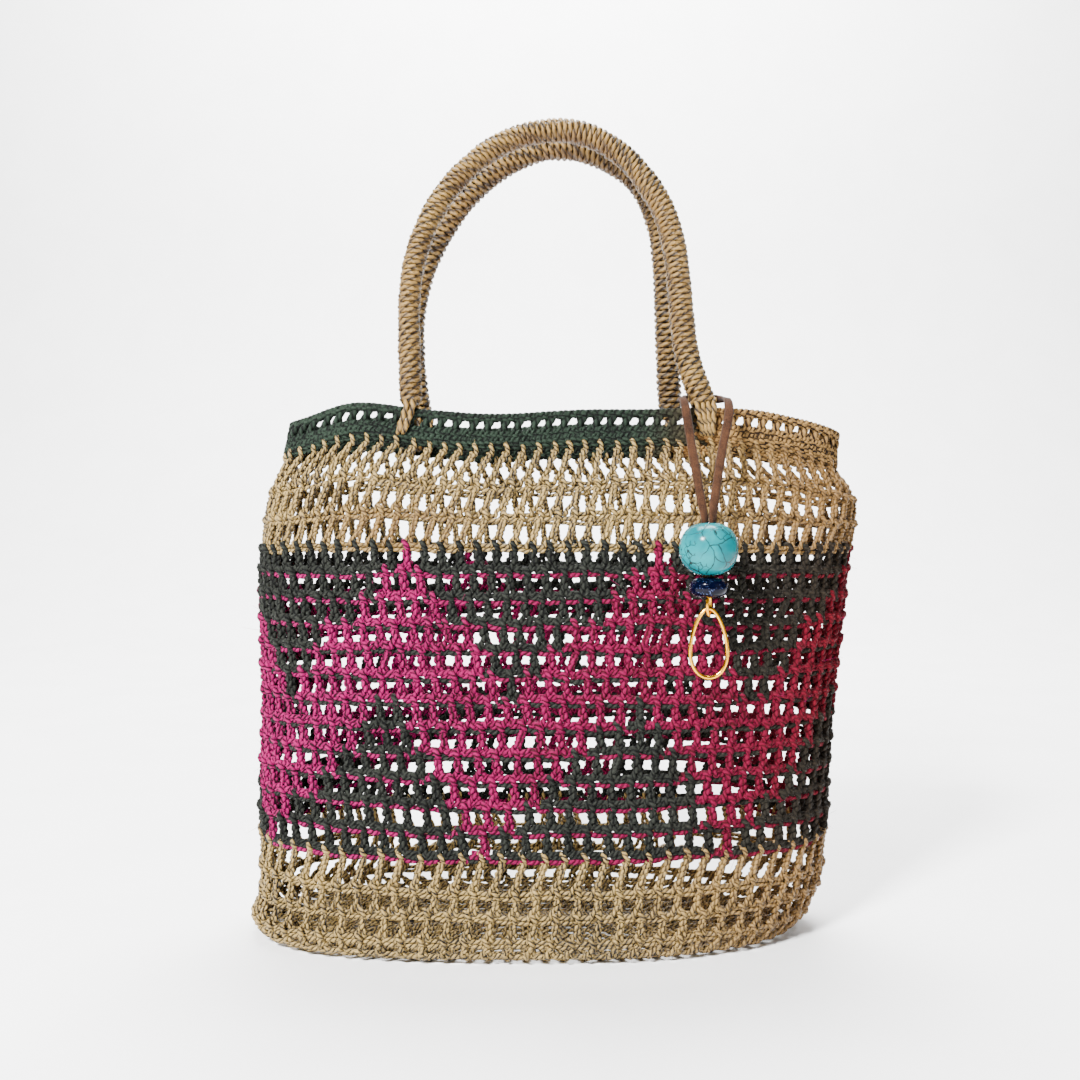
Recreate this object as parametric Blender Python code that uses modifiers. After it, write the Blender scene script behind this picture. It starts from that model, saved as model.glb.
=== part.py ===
"""Bilum string bag: an openwork oval bag that stands on its flat base, with two
stiff wrapped hoop handles and a bead charm on a suede lace.

Metres, +Z up. The front faces -Y, +X is the viewer's right, and the origin is at
the bottom centre of the bag. The net is cut at twice its real pitch: 42 cells
round and 7 rings high, above a closed foot.
"""
import math
from typing import NamedTuple

import bpy
from mathutils import Vector

GAP = 0.0003                # clearance between neighbouring pieces
WALL_THICK = 0.003          # thickness of the knotted wall

# Net wall
CELLS_ROUND = 42            # cells of the cut net, two real stitches wide each
UPRIGHT_HALF = 0.0023       # half the width of an upright strand
BAR_HALF = 0.0023           # half the height of a level bar
TOP_EDGE = 0.1910           # nominal height of the net's top edge
TOP_BAR = 0.0045            # height of the bar under the top edge
BAR_HEIGHTS = (0.1659, 0.1443, 0.1254, 0.1065, 0.0875, 0.0686, 0.0496)
FOOT_HEIGHTS = (0.036, 0.020, 0.0065, 0.0018, 0.0)
LEAN_SLOPE = 0.15           # how far the uprights lean to the left going down
LEAN_CENTRE = 0.100         # height at which the lean is counted from


class Section(NamedTuple):
    """Outer reach of the bag at one height, measured from its upright axis."""

    height: float
    left: float
    right: float
    deep: float             # half the depth
    boxy_left: float        # exponent of the oval, 2 for an ellipse
    boxy_right: float
    pinch: float            # how far the middle of the mouth is drawn in


SECTIONS = (
    Section(0.0000, 0.1100, 0.0900, 0.0430, 3.0, 2.1, 0.0),
    Section(0.0018, 0.1165, 0.0955, 0.0470, 3.0, 2.1, 0.0),
    Section(0.0065, 0.1215, 0.1008, 0.0485, 2.9, 2.1, 0.0),
    Section(0.0200, 0.1195, 0.1070, 0.0490, 2.5, 2.1, 0.0),
    Section(0.0400, 0.1200, 0.1098, 0.0500, 2.3, 2.1, 0.0),
    Section(0.0650, 0.1200, 0.1110, 0.0510, 2.2, 2.1, 0.0),
    Section(0.0950, 0.1190, 0.1130, 0.0510, 2.2, 2.1, 0.0),
    Section(0.1270, 0.1205, 0.1170, 0.0505, 2.2, 2.1, 0.0),
    Section(0.1500, 0.1200, 0.1195, 0.0490, 2.2, 2.1, 0.0),
    Section(0.1680, 0.1180, 0.1215, 0.0455, 2.3, 2.2, 0.0015),
    Section(0.1770, 0.1160, 0.1218, 0.0420, 2.4, 2.2, 0.0030),
    Section(0.1850, 0.1135, 0.1190, 0.0385, 2.4, 2.3, 0.0045),
    Section(0.1910, 0.1110, 0.1145, 0.0355, 2.4, 2.3, 0.0060),
    Section(0.1985, 0.1090, 0.1140, 0.0340, 2.4, 2.3, 0.0070),
    Section(0.2060, 0.1075, 0.1150, 0.0335, 2.4, 2.3, 0.0070),
)
PINCH_SPREAD = 0.042        # half-width of the drawn-in middle of the mouth


class Rise(NamedTuple):
    """How far the mouth lies above or below its mean height at one place."""

    across: float
    lift: float


RISES = (
    Rise(-0.1150, -0.0035),
    Rise(-0.1000, -0.0015),
    Rise(-0.0780, 0.0030),
    Rise(-0.0480, 0.0000),
    Rise(-0.0290, -0.0015),
    Rise(0.0000, 0.0000),
    Rise(0.0540, 0.0006),
    Rise(0.0770, 0.0004),
    Rise(0.0940, -0.0025),
    Rise(0.1150, -0.0065),
)
RISE_FROM, RISE_FULL = 0.140, 0.188     # the heights where the rise begins and is full
CONTOUR_STEPS = 720

# Rim band, in (outward, upward) steps from its lower edge
RIM_FOOT = TOP_EDGE + GAP
RIM_STATIONS = 84
RIM_RELIEF = 0.0004
RIM_HEIGHT = 0.0142
RIM_SECTION = (
    (-0.0002, 0.0, 0.0),
    (0.0012, 0.0030, 1.0),
    (0.0003, 0.0055, 0.0),
    (0.0001, 0.0085, 0.0),
    (0.0015, 0.0115, -1.0),
    (0.0000, RIM_HEIGHT, 0.0),
    (-0.0022, RIM_HEIGHT, 0.0),
    (-0.0034, 0.0112, 0.0),
    (-0.0028, 0.0040, 0.0),
    (-0.0024, 0.0, 0.0),
)
STRAW_FROM = 0.053          # the straw-coloured stretch of the rim lies right of this

# Handles
FRONT_RADII = (0.0043, 0.0047, 0.0050)      # over the wraps: left foot, top, right foot
BACK_RADII = (0.0047, 0.0047, 0.0053)
WRAP_VALLEY = 0.88          # radius between two raised wraps, as a share of the wrap's
WRAP_PITCH = 0.0044         # one raised wrap stands for two turns of the cord
HANDLE_STAND = 0.0040       # from the rim's top to the end face of a handle
FOOT_STRAIGHT = 0.0030      # each end of a handle stands upright for this length
HANDLE_APEX_DEEP = 0.0085   # how far each handle's top stands from the middle
FRONT_FOOT_LEFT, FRONT_FOOT_RIGHT = -0.0560, 0.0564
BACK_FOOT_LEFT, BACK_FOOT_RIGHT = -0.0575, 0.0505
FRONT_HOOP = (
    (-0.0565, 0.2180), (-0.0572, 0.2350), (-0.0575, 0.2480), (-0.0565, 0.2610),
    (-0.0533, 0.2745), (-0.0478, 0.2875), (-0.0400, 0.2990), (-0.0282, 0.3105),
    (-0.0140, 0.3180), (0.0021, 0.3203), (0.0150, 0.3172), (0.0265, 0.3095),
    (0.0348, 0.2998), (0.0418, 0.2875), (0.0455, 0.2752), (0.0474, 0.2610),
    (0.0485, 0.2440), (0.0494, 0.2330), (0.0508, 0.2245), (0.0525, 0.2190),
)
BACK_HOOP = (
    (-0.0590, 0.2200), (-0.0605, 0.2330), (-0.0605, 0.2470), (-0.0589, 0.2582),
    (-0.0550, 0.2712), (-0.0482, 0.2846), (-0.0380, 0.2985), (-0.0255, 0.3096),
    (-0.0110, 0.3170), (0.0020, 0.3192), (0.0160, 0.3168), (0.0298, 0.3096),
    (0.0385, 0.2998), (0.0437, 0.2865), (0.0460, 0.2730), (0.0472, 0.2560),
    (0.0479, 0.2420), (0.0488, 0.2280), (0.0495, 0.2190),
)

# Lashings that hold the handles to the rim
STRAND_WIDE = 0.0022
STRAND_THICK = 0.0021
LASHING_HANG = 0.0115       # how far a lashing reaches down the rim band
LASHING_CLEAR = 0.0009      # a lashing's way round the rim's raised plait
LASHING_ROUND = 0.0012      # how early a lashing turns over the rim's edge
LASHING_VALLEY = 0.45       # thickness between two strands, as a share of a strand's
LASHING_BEND = math.radians(22.5)

# Bead charm
CHARM_X, CHARM_Y = 0.0535, -0.0580
BEAD_HOLE = 0.0028
TURQUOISE_Z, TURQUOISE_RADIUS, TURQUOISE_HALF = 0.1528, 0.0104, 0.0095
NAVY_Z, NAVY_RADIUS, NAVY_HALF = 0.1391, 0.0068, 0.0038
TURQUOISE_BOXY, NAVY_BOXY = 2.5, 2.6    # exponents of the beads' side outlines
TURQUOISE_RINGS, NAVY_RINGS = 10, 8
BEAD_STEPS = 20
LACE_RADIUS = 0.0011
LACE_POINTS = 58
LACE_ROUTE = (
    (0.05215, -0.0580, 0.1376), (0.05215, -0.0580, 0.1500), (0.05215, -0.0579, 0.1622),
    (0.05120, -0.0552, 0.1705), (0.04930, -0.0475, 0.1880), (0.04800, -0.0412, 0.2020),
    (0.04770, -0.0380, 0.2068), (0.04760, -0.0335, 0.2092), (0.04780, -0.0275, 0.2102),
    (0.05000, -0.0218, 0.2108), (0.05600, -0.0198, 0.2112), (0.06200, -0.0218, 0.2108),
    (0.06430, -0.0275, 0.2100), (0.06430, -0.0335, 0.2090), (0.06410, -0.0378, 0.2066),
    (0.06350, -0.0410, 0.2018), (0.05990, -0.0475, 0.1880), (0.05600, -0.0552, 0.1705),
    (0.05485, -0.0579, 0.1622), (0.05485, -0.0580, 0.1500), (0.05485, -0.0580, 0.1376),
)
LINK_WIRE = 0.0005
LINK_HALF_WIDE, LINK_HALF_HIGH = 0.0016, 0.0040
LINK_Z = 0.1331
LINK_POINTS = 18
LINK_TURN = math.radians(62.0)
PENDANT_WIRE = 0.0007
PENDANT_REACH, PENDANT_NECK = 0.0080, 0.6    # the hoop narrows to its neck at the top
PENDANT_TOP, PENDANT_LOW = 0.1316, 0.1070
PENDANT_POINTS = 28


class Finish(NamedTuple):
    """Colour, roughness and metallic value of one sub-part."""

    colour: tuple
    roughness: float
    metallic: float


NATURAL = Finish((0.60, 0.47, 0.26), 0.85, 0.0)
GREEN = Finish((0.035, 0.075, 0.050), 0.85, 0.0)
STRAW = Finish((0.45, 0.27, 0.10), 0.85, 0.0)
WRAPPED = Finish((0.52, 0.37, 0.17), 0.75, 0.0)
SUEDE = Finish((0.20, 0.075, 0.035), 0.9, 0.0)
TURQUOISE = Finish((0.09, 0.56, 0.60), 0.25, 0.0)
NAVY = Finish((0.008, 0.012, 0.055), 0.15, 0.0)
GOLD = Finish((0.95, 0.62, 0.08), 0.2, 1.0)


def cubic(table, at, column):
    """Value of one column of a table at a place, on a smooth curve through its rows."""
    places = [row[0] for row in table]
    values = [row[column] for row in table]
    if at <= places[0]:
        return values[0]
    if at >= places[-1]:
        return values[-1]
    i = max(k for k in range(len(places) - 1) if places[k] <= at)

    def slope(k):
        low, high = max(k - 1, 0), min(k + 1, len(places) - 1)
        return (values[high] - values[low]) / (places[high] - places[low])

    step = places[i + 1] - places[i]
    t = (at - places[i]) / step
    return (
        (2 * t**3 - 3 * t**2 + 1) * values[i]
        + (t**3 - 2 * t**2 + t) * step * slope(i)
        + (3 * t**2 - 2 * t**3) * values[i + 1]
        + (t**3 - t**2) * step * slope(i + 1)
    )


def section_at(height):
    """The bag's section at a height."""
    return Section(height, *(cubic(SECTIONS, height, c) for c in range(1, 7)))


def rise_at(across, height):
    """Lift of the wall at a place, full near the mouth and none low down."""
    t = min(max((height - RISE_FROM) / (RISE_FULL - RISE_FROM), 0.0), 1.0)
    return cubic(RISES, across, 1) * t * t * (3 - 2 * t)


class Contour:
    """The closed outline of the bag at one height, walked by its length from the
    middle of the front towards +X."""

    def __init__(self, height):
        self.height = height
        section = section_at(height)
        self.points = [self.outline(section, k) for k in range(CONTOUR_STEPS + 1)]
        self.lengths = [0.0]
        for a, b in zip(self.points, self.points[1:]):
            self.lengths.append(self.lengths[-1] + (b - a).length)
        self.whole = self.lengths[-1]

    @staticmethod
    def outline(section, step):
        angle = 2 * math.pi * step / CONTOUR_STEPS
        s, c = math.sin(angle), math.cos(angle)
        reach = section.right if s > 0 else section.left
        boxy = section.boxy_right if s > 0 else section.boxy_left
        x = math.copysign(reach * abs(s) ** (2 / boxy), s)
        y = -math.copysign(section.deep * abs(c) ** (2 / boxy), c)
        drawn_in = section.pinch * math.exp(-((x / PINCH_SPREAD) ** 2))
        y += math.copysign(min(drawn_in, abs(y)), -y)
        return Vector((x, y, 0.0))

    def at(self, share, outward=0.0):
        """The point at a share of the way round, moved outward."""
        length = (share % 1.0) * self.whole
        low, high = 0, CONTOUR_STEPS
        while high - low > 1:
            middle = (low + high) // 2
            if self.lengths[middle] <= length:
                low = middle
            else:
                high = middle
        a, b = self.points[low], self.points[low + 1]
        along = (b - a).normalized()
        t = (length - self.lengths[low]) / (self.lengths[low + 1] - self.lengths[low])
        point = a.lerp(b, t) + Vector((along.y, -along.x, 0.0)) * outward
        point.z = self.height + rise_at(point.x, self.height)
        return point

    def share_at(self, across, back=False):
        """The share of the way round at which the outline passes x = across."""
        quarter = CONTOUR_STEPS // 4
        if back:
            first = quarter if across >= 0 else 2 * quarter
        else:
            first = 0 if across >= 0 else 3 * quarter
        steps = range(first, first + quarter)
        best = min(steps, key=lambda k: abs(self.points[k].x - across))
        return self.lengths[best] / self.whole


def material(name, finish):
    made = bpy.data.materials.new(name)
    made.use_nodes = True
    shader = made.node_tree.nodes["Principled BSDF"]
    shader.inputs["Base Color"].default_value = (*finish.colour, 1.0)
    shader.inputs["Roughness"].default_value = finish.roughness
    shader.inputs["Metallic"].default_value = finish.metallic
    return made


def add_object(name, data, finish, parts):
    made = bpy.data.objects.new(name, data)
    data.materials.append(material(name, finish))
    parts.objects.link(made)
    return made


def add_mesh(name, points, faces, finish, parts, sharp=math.radians(40.0)):
    mesh = bpy.data.meshes.new(name)
    mesh.from_pydata(points, [], faces)
    mesh.shade_smooth()
    mesh.set_sharp_from_angle(angle=sharp)
    return add_object(name, mesh, finish, parts)


def add_tube(name, points, radii, finish, parts, closed=False):
    """A round wire or rope along the points, closed or with flat end caps."""
    curve = bpy.data.curves.new(name, "CURVE")
    curve.dimensions = "3D"
    curve.bevel_depth = max(radii)
    curve.bevel_resolution = 2
    curve.render_resolution_u = 0
    curve.use_fill_caps = not closed
    spline = curve.splines.new("POLY")
    spline.points.add(len(points) - 1)
    for point, place, radius in zip(spline.points, points, radii):
        point.co = (*place, 1.0)
        point.radius = radius / curve.bevel_depth
    spline.use_cyclic_u = closed
    return add_object(name, curve, finish, parts)


def smooth_line(route, count):
    """Points at even steps along a smooth curve through the route's points."""
    route = [Vector(p) for p in route]
    ends = [route[0] * 2 - route[1], *route, route[-1] * 2 - route[-2]]
    fine = []
    per_span = 24
    for a, b, c, d in zip(ends, ends[1:], ends[2:], ends[3:]):
        for k in range(per_span):
            t = k / per_span
            fine.append(
                0.5 * (2 * b + (c - a) * t + (2 * a - 5 * b + 4 * c - d) * t**2
                       + (3 * b - a - 3 * c + d) * t**3)
            )
    fine.append(route[-1])
    lengths = [0.0]
    for a, b in zip(fine, fine[1:]):
        lengths.append(lengths[-1] + (b - a).length)
    line, k = [], 0
    for i in range(count):
        target = lengths[-1] * i / (count - 1)
        while k < len(fine) - 2 and lengths[k + 1] < target:
            k += 1
        t = (target - lengths[k]) / (lengths[k + 1] - lengths[k])
        line.append(fine[k].lerp(fine[k + 1], t))
    return line, lengths[-1]


def loft(rings, closed):
    """Points and faces of a body swept through rings of equal point counts. The
    rings wind so that the faces point outwards; an open sweep gets end caps."""
    size = len(rings[0])
    points = [p for ring in rings for p in ring]
    faces = []
    spans = len(rings) if closed else len(rings) - 1
    for r in range(spans):
        here, there = r * size, ((r + 1) % len(rings)) * size
        for k in range(size):
            n = (k + 1) % size
            faces.append((here + k, here + n, there + n, there + k))
    if not closed:
        faces.append(tuple(reversed(range(size))))
        faces.append(tuple(range(len(points) - size, len(points))))
    return points, faces


def net_rows():
    """Heights of the net's rows of points, and which spans between them are open."""
    heights, is_open = [TOP_EDGE], [False]
    heights.append(TOP_EDGE - TOP_BAR)
    for bar in BAR_HEIGHTS:
        heights += [bar + BAR_HALF, bar - BAR_HALF]
        is_open += [True, False]
    return heights[:-1] + list(FOOT_HEIGHTS), is_open + [False] * (len(FOOT_HEIGHTS) - 1)


def build_bag_body(parts):
    """The knotted wall and base in one piece, open at the top and cut through
    between its strands."""
    heights, is_open = net_rows()
    points = []
    for height in heights:
        contour = Contour(height)
        lean = LEAN_SLOPE * (height - LEAN_CENTRE)
        for cell in range(CELLS_ROUND):
            middle = cell / CELLS_ROUND + lean / contour.whole
            half = UPRIGHT_HALF / contour.whole
            points += [contour.at(middle - half), contour.at(middle + half)]
    size = 2 * CELLS_ROUND
    faces = []
    for row, gap in enumerate(is_open):
        upper, lower = row * size, (row + 1) * size
        for k in range(size):
            if gap and k % 2 == 1:
                continue
            n = (k + 1) % size
            faces.append((upper + k, lower + k, lower + n, upper + n))
    faces.append(tuple(reversed(range(len(points) - size, len(points)))))
    body = add_mesh("bag_body", points, faces, NATURAL, parts)
    shell = body.modifiers.new("Wall", "SOLIDIFY")
    shell.thickness = WALL_THICK
    shell.offset = -1.0


def rim_ring(share, bump):
    """One ring of the rim band, round its section."""
    ring = []
    for outward, up, relief in reversed(RIM_SECTION):
        contour = RIM_CONTOURS[up]
        ring.append(contour.at(share, outward + relief * bump * RIM_RELIEF))
    return ring


def build_rim_bands(parts):
    """The plaited edge in two colours, green on the left and straw on the right."""
    middle = RIM_CONTOURS[RIM_HEIGHT]
    front, back = middle.share_at(STRAW_FROM), middle.share_at(STRAW_FROM, back=True)
    half_gap = GAP / middle.whole
    runs = (
        ("rim_band_straw", STRAW, front + half_gap, back - half_gap),
        ("rim_band_green", GREEN, back + half_gap, 1.0 + front - half_gap),
    )
    for name, finish, start, end in runs:
        count = round((end - start) * RIM_STATIONS)
        rings = []
        for k in range(count + 1):
            share = start + (end - start) * k / count
            rings.append(rim_ring(share, 1.0 if k % 2 else -1.0))
        add_mesh(name, *loft(rings, closed=False), finish, parts)


def rim_seat(across, back):
    """Middle of the rim band's top at a place across the mouth, and the way out."""
    contour = RIM_CONTOURS[RIM_HEIGHT]
    share = contour.share_at(across, back)
    half = (RIM_SECTION[5][0] + RIM_SECTION[6][0]) / 2
    seat = contour.at(share, half)
    return seat, (contour.at(share, 1.0) - contour.at(share, 0.0)).normalized(), share


def build_handle(name, hoop, feet, radii, back, parts):
    """A stiff hoop wrapped in cord, its ends standing on the rim's lashings."""
    seats = [rim_seat(x, back)[0] + Vector((0, 0, HANDLE_STAND)) for x in feet]
    apex_y = HANDLE_APEX_DEEP if back else -HANDLE_APEX_DEEP
    top = max(z for _, z in hoop)
    upright = Vector((0, 0, FOOT_STRAIGHT))
    route = [seats[0], seats[0] + upright]
    for x, z in hoop:
        t = (z - seats[0].z) / (top - seats[0].z)
        route.append(Vector((x, seats[0].y + (apex_y - seats[0].y) * t, z)))
    route += [seats[1] + upright, seats[1]]
    _, length = smooth_line(route, 3)
    wraps = round(length / WRAP_PITCH)
    line, _ = smooth_line(route, 2 * wraps + 1)
    first, middle, last = radii
    wrapped = []
    for k in range(len(line)):
        share = k / wraps
        over = first + (middle - first) * share if share < 1 else middle + (last - middle) * (share - 1)
        wrapped.append(over * (1.0 if k % 2 else WRAP_VALLEY))
    add_tube(name, line, wrapped, WRAPPED, parts)


def build_lashing(name, across, back, strands, parts):
    """Cord turns laid side by side over the rim, under a handle's foot."""
    seat, out, share = rim_seat(across, back)
    along = Vector((-out.y, out.x, 0.0))
    rim_half = (RIM_SECTION[5][0] - RIM_SECTION[6][0]) / 2
    outer = RIM_SECTION[4][0] - RIM_SECTION[5][0] + rim_half + RIM_RELIEF + LASHING_CLEAR
    inner = RIM_SECTION[6][0] - RIM_SECTION[7][0] + rim_half + LASHING_CLEAR
    inside_path = (
        (outer, -LASHING_HANG), (outer, -LASHING_HANG / 2), (outer, -LASHING_ROUND),
        (outer - LASHING_ROUND, LASHING_CLEAR), (0.0, LASHING_CLEAR),
        (LASHING_ROUND - inner, LASHING_CLEAR),
        (-inner, -LASHING_ROUND), (-inner, -LASHING_HANG / 2), (-inner, -LASHING_HANG),
    )
    more, less = math.cos(LASHING_BEND), math.sin(LASHING_BEND)
    ways = ((1, 0), (1, 0), (more, less), (less, more), (0, 1),
            (-less, more), (-more, less), (-1, 0), (-1, 0))
    width = strands * STRAND_WIDE
    rings = []
    for (n, h), (wn, wh) in zip(inside_path, ways):
        base = seat + out * n + Vector((0, 0, h))
        way = out * wn + Vector((0, 0, wh))
        ring = [base - along * (width / 2)]
        for k in range(2 * strands + 1):
            thick = STRAND_THICK * (1.0 if k % 2 else LASHING_VALLEY)
            ring.append(base + along * (width * (k / (2 * strands) - 0.5)) + way * thick)
        ring.append(base + along * (width / 2))
        rings.append(ring)
    add_mesh(name, *loft(rings, closed=False), WRAPPED, parts)


def add_bead(name, profile, height, finish, parts):
    """A turned bead with a hole through it, from a closed profile at +X."""
    mesh = bpy.data.meshes.new(name)
    edges = [(k, (k + 1) % len(profile)) for k in range(len(profile))]
    mesh.from_pydata([(r, 0.0, z) for r, z in profile], edges, [])
    bead = add_object(name, mesh, finish, parts)
    bead.location = (CHARM_X, CHARM_Y, height)
    turn = bead.modifiers.new("Turn", "SCREW")
    turn.steps = BEAD_STEPS
    turn.render_steps = BEAD_STEPS
    turn.use_merge_vertices = True
    turn.merge_threshold = 0.00001
    turn.use_smooth_shade = True


def barrel_profile(radius, half, boxy, steps):
    """Outer side of a bead from its top hole edge down, then back up the hole."""
    start = math.acos(min(BEAD_HOLE / radius, 1.0) ** (boxy / 2))
    profile = []
    for k in range(steps + 1):
        angle = start - 2 * start * k / steps
        r = radius * math.cos(angle) ** (2 / boxy)
        z = math.copysign(half * abs(math.sin(angle)) ** (2 / boxy), math.sin(angle))
        profile.append((r, z))
    return profile


def build_charm(parts):
    """Two beads on a doubled suede lace, with a small link and a plain hoop."""
    barrel = barrel_profile(
        TURQUOISE_RADIUS, TURQUOISE_HALF, TURQUOISE_BOXY, TURQUOISE_RINGS
    )
    add_bead("bead_turquoise", barrel, TURQUOISE_Z, TURQUOISE, parts)
    disc = barrel_profile(NAVY_RADIUS, NAVY_HALF, NAVY_BOXY, NAVY_RINGS)
    add_bead("bead_navy", disc, NAVY_Z, NAVY, parts)
    line, _ = smooth_line(LACE_ROUTE, LACE_POINTS)
    add_tube("charm_lace", line, [LACE_RADIUS] * len(line), SUEDE, parts)
    link = []
    for k in range(LINK_POINTS):
        angle = 2 * math.pi * k / LINK_POINTS
        across = LINK_HALF_WIDE * math.cos(angle)
        up = LINK_HALF_HIGH * math.sin(angle)
        link.append(Vector((CHARM_X + across * math.cos(LINK_TURN),
                            CHARM_Y + across * math.sin(LINK_TURN), LINK_Z + up)))
    add_tube("charm_link", link, [LINK_WIRE] * len(link), GOLD, parts, closed=True)
    hoop, half_high = [], (PENDANT_TOP - PENDANT_LOW) / 2
    for k in range(PENDANT_POINTS):
        angle = 2 * math.pi * k / PENDANT_POINTS
        taper = PENDANT_NECK + (1 - PENDANT_NECK) * math.sin(angle / 2) ** 2
        across = PENDANT_REACH * math.sin(angle) * taper
        up = half_high * math.cos(angle)
        hoop.append(Vector((CHARM_X + across, CHARM_Y, PENDANT_TOP - half_high + up)))
    add_tube("charm_hoop", hoop, [PENDANT_WIRE] * len(hoop), GOLD, parts, closed=True)


for old in list(bpy.data.objects):
    bpy.data.objects.remove(old, do_unlink=True)
bag = bpy.data.collections.new("bilum_string_bag")
bpy.context.scene.collection.children.link(bag)
RIM_CONTOURS = {up: Contour(RIM_FOOT + up) for up in sorted({s[1] for s in RIM_SECTION})}

build_bag_body(bag)
build_rim_bands(bag)
build_handle("handle_front", FRONT_HOOP, (FRONT_FOOT_LEFT, FRONT_FOOT_RIGHT), FRONT_RADII,
             False, bag)
build_handle("handle_back", BACK_HOOP, (BACK_FOOT_LEFT, BACK_FOOT_RIGHT), BACK_RADII, True, bag)
build_lashing("lashing_front_left", FRONT_FOOT_LEFT, False, 2, bag)
build_lashing("lashing_front_right", FRONT_FOOT_RIGHT, False, 4, bag)
build_lashing("lashing_back_left", BACK_FOOT_LEFT, True, 4, bag)
build_lashing("lashing_back_right", BACK_FOOT_RIGHT, True, 2, bag)
build_charm(bag)
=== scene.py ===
"""Looks of the bilum string bag: every strand of its knotted net, its plaited rim, its
wrapped handles and its bead charm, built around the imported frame.

Metres, +Z up. The front faces -Y and +X is the viewer's right, as in the frame.
"""

import logging
import math
from dataclasses import dataclass, field
from enum import Enum
from functools import cached_property
from typing import NamedTuple, Optional, Sequence, Union

import bpy
import numpy as np
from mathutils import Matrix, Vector


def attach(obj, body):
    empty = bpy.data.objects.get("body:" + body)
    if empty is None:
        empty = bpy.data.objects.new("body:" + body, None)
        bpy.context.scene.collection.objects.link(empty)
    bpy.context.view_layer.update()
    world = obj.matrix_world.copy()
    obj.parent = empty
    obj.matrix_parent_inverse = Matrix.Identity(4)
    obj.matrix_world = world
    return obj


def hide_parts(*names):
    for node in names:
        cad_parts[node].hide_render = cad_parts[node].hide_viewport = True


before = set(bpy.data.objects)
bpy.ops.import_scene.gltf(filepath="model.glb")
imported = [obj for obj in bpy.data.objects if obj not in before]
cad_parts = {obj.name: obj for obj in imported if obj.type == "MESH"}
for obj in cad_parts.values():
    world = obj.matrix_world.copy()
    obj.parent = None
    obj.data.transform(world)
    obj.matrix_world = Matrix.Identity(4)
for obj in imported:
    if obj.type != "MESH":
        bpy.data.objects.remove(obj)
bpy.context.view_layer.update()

LOG = logging.getLogger("bilum_bag")
SEED = 2611
MM = 0.001
Socket = bpy.types.NodeSocket
Feed = Union[float, tuple, Socket]


class Section(NamedTuple):
    """Outer reach of the bag at one height, as in the frame's own source."""

    height: float
    left: float
    right: float
    deep: float
    boxy_left: float
    boxy_right: float
    pinch: float


SECTIONS = (
    Section(0.0000, 0.1100, 0.0900, 0.0430, 3.0, 2.1, 0.0),
    Section(0.0018, 0.1165, 0.0955, 0.0470, 3.0, 2.1, 0.0),
    Section(0.0065, 0.1215, 0.1008, 0.0485, 2.9, 2.1, 0.0),
    Section(0.0200, 0.1195, 0.1070, 0.0490, 2.5, 2.1, 0.0),
    Section(0.0400, 0.1200, 0.1098, 0.0500, 2.3, 2.1, 0.0),
    Section(0.0650, 0.1200, 0.1110, 0.0510, 2.2, 2.1, 0.0),
    Section(0.0950, 0.1190, 0.1130, 0.0510, 2.2, 2.1, 0.0),
    Section(0.1270, 0.1205, 0.1170, 0.0505, 2.2, 2.1, 0.0),
    Section(0.1500, 0.1200, 0.1195, 0.0490, 2.2, 2.1, 0.0),
    Section(0.1680, 0.1180, 0.1215, 0.0455, 2.3, 2.2, 0.0015),
    Section(0.1770, 0.1160, 0.1218, 0.0420, 2.4, 2.2, 0.0030),
    Section(0.1850, 0.1135, 0.1190, 0.0385, 2.4, 2.3, 0.0045),
    Section(0.1910, 0.1110, 0.1145, 0.0355, 2.4, 2.3, 0.0060),
    Section(0.1985, 0.1090, 0.1140, 0.0340, 2.4, 2.3, 0.0070),
    Section(0.2060, 0.1075, 0.1150, 0.0335, 2.4, 2.3, 0.0070),
)
PINCH_SPREAD = 0.042
RISES = (
    (-0.1150, -0.0035), (-0.1000, -0.0015), (-0.0780, 0.0030), (-0.0480, 0.0000),
    (-0.0290, -0.0015), (0.0000, 0.0000), (0.0540, 0.0006), (0.0770, 0.0004),
    (0.0940, -0.0025), (0.1150, -0.0065),
)
RISE_FROM, RISE_FULL = 0.140, 0.188


def smooth_lookup(table: Sequence[Sequence[float]], column: int, at: np.ndarray) -> np.ndarray:
    """Values of a table's column on a smooth curve through its rows.

    Args:
        table: Rows that start with their place.
        column: Which value of a row is looked up.
        at: Places to look up.

    Returns:
        One value for each place.
    """
    places = np.array([row[0] for row in table])
    values = np.array([row[column] for row in table])
    slopes = np.gradient(values, places)
    slopes[1:-1] = (values[2:] - values[:-2]) / (places[2:] - places[:-2])
    i = np.clip(np.searchsorted(places, at, side="right") - 1, 0, len(places) - 2)
    step = places[i + 1] - places[i]
    t = np.clip((at - places[i]) / step, 0.0, 1.0)
    return (
        (2 * t**3 - 3 * t**2 + 1) * values[i]
        + (t**3 - 2 * t**2 + t) * step * slopes[i]
        + (3 * t**2 - 2 * t**3) * values[i + 1]
        + (t**3 - t**2) * step * slopes[i + 1]
    )


def unit(vectors: np.ndarray) -> np.ndarray:
    """The vectors at length one."""
    return vectors / np.maximum(np.linalg.norm(vectors, axis=-1, keepdims=True), 1e-12)


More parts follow.
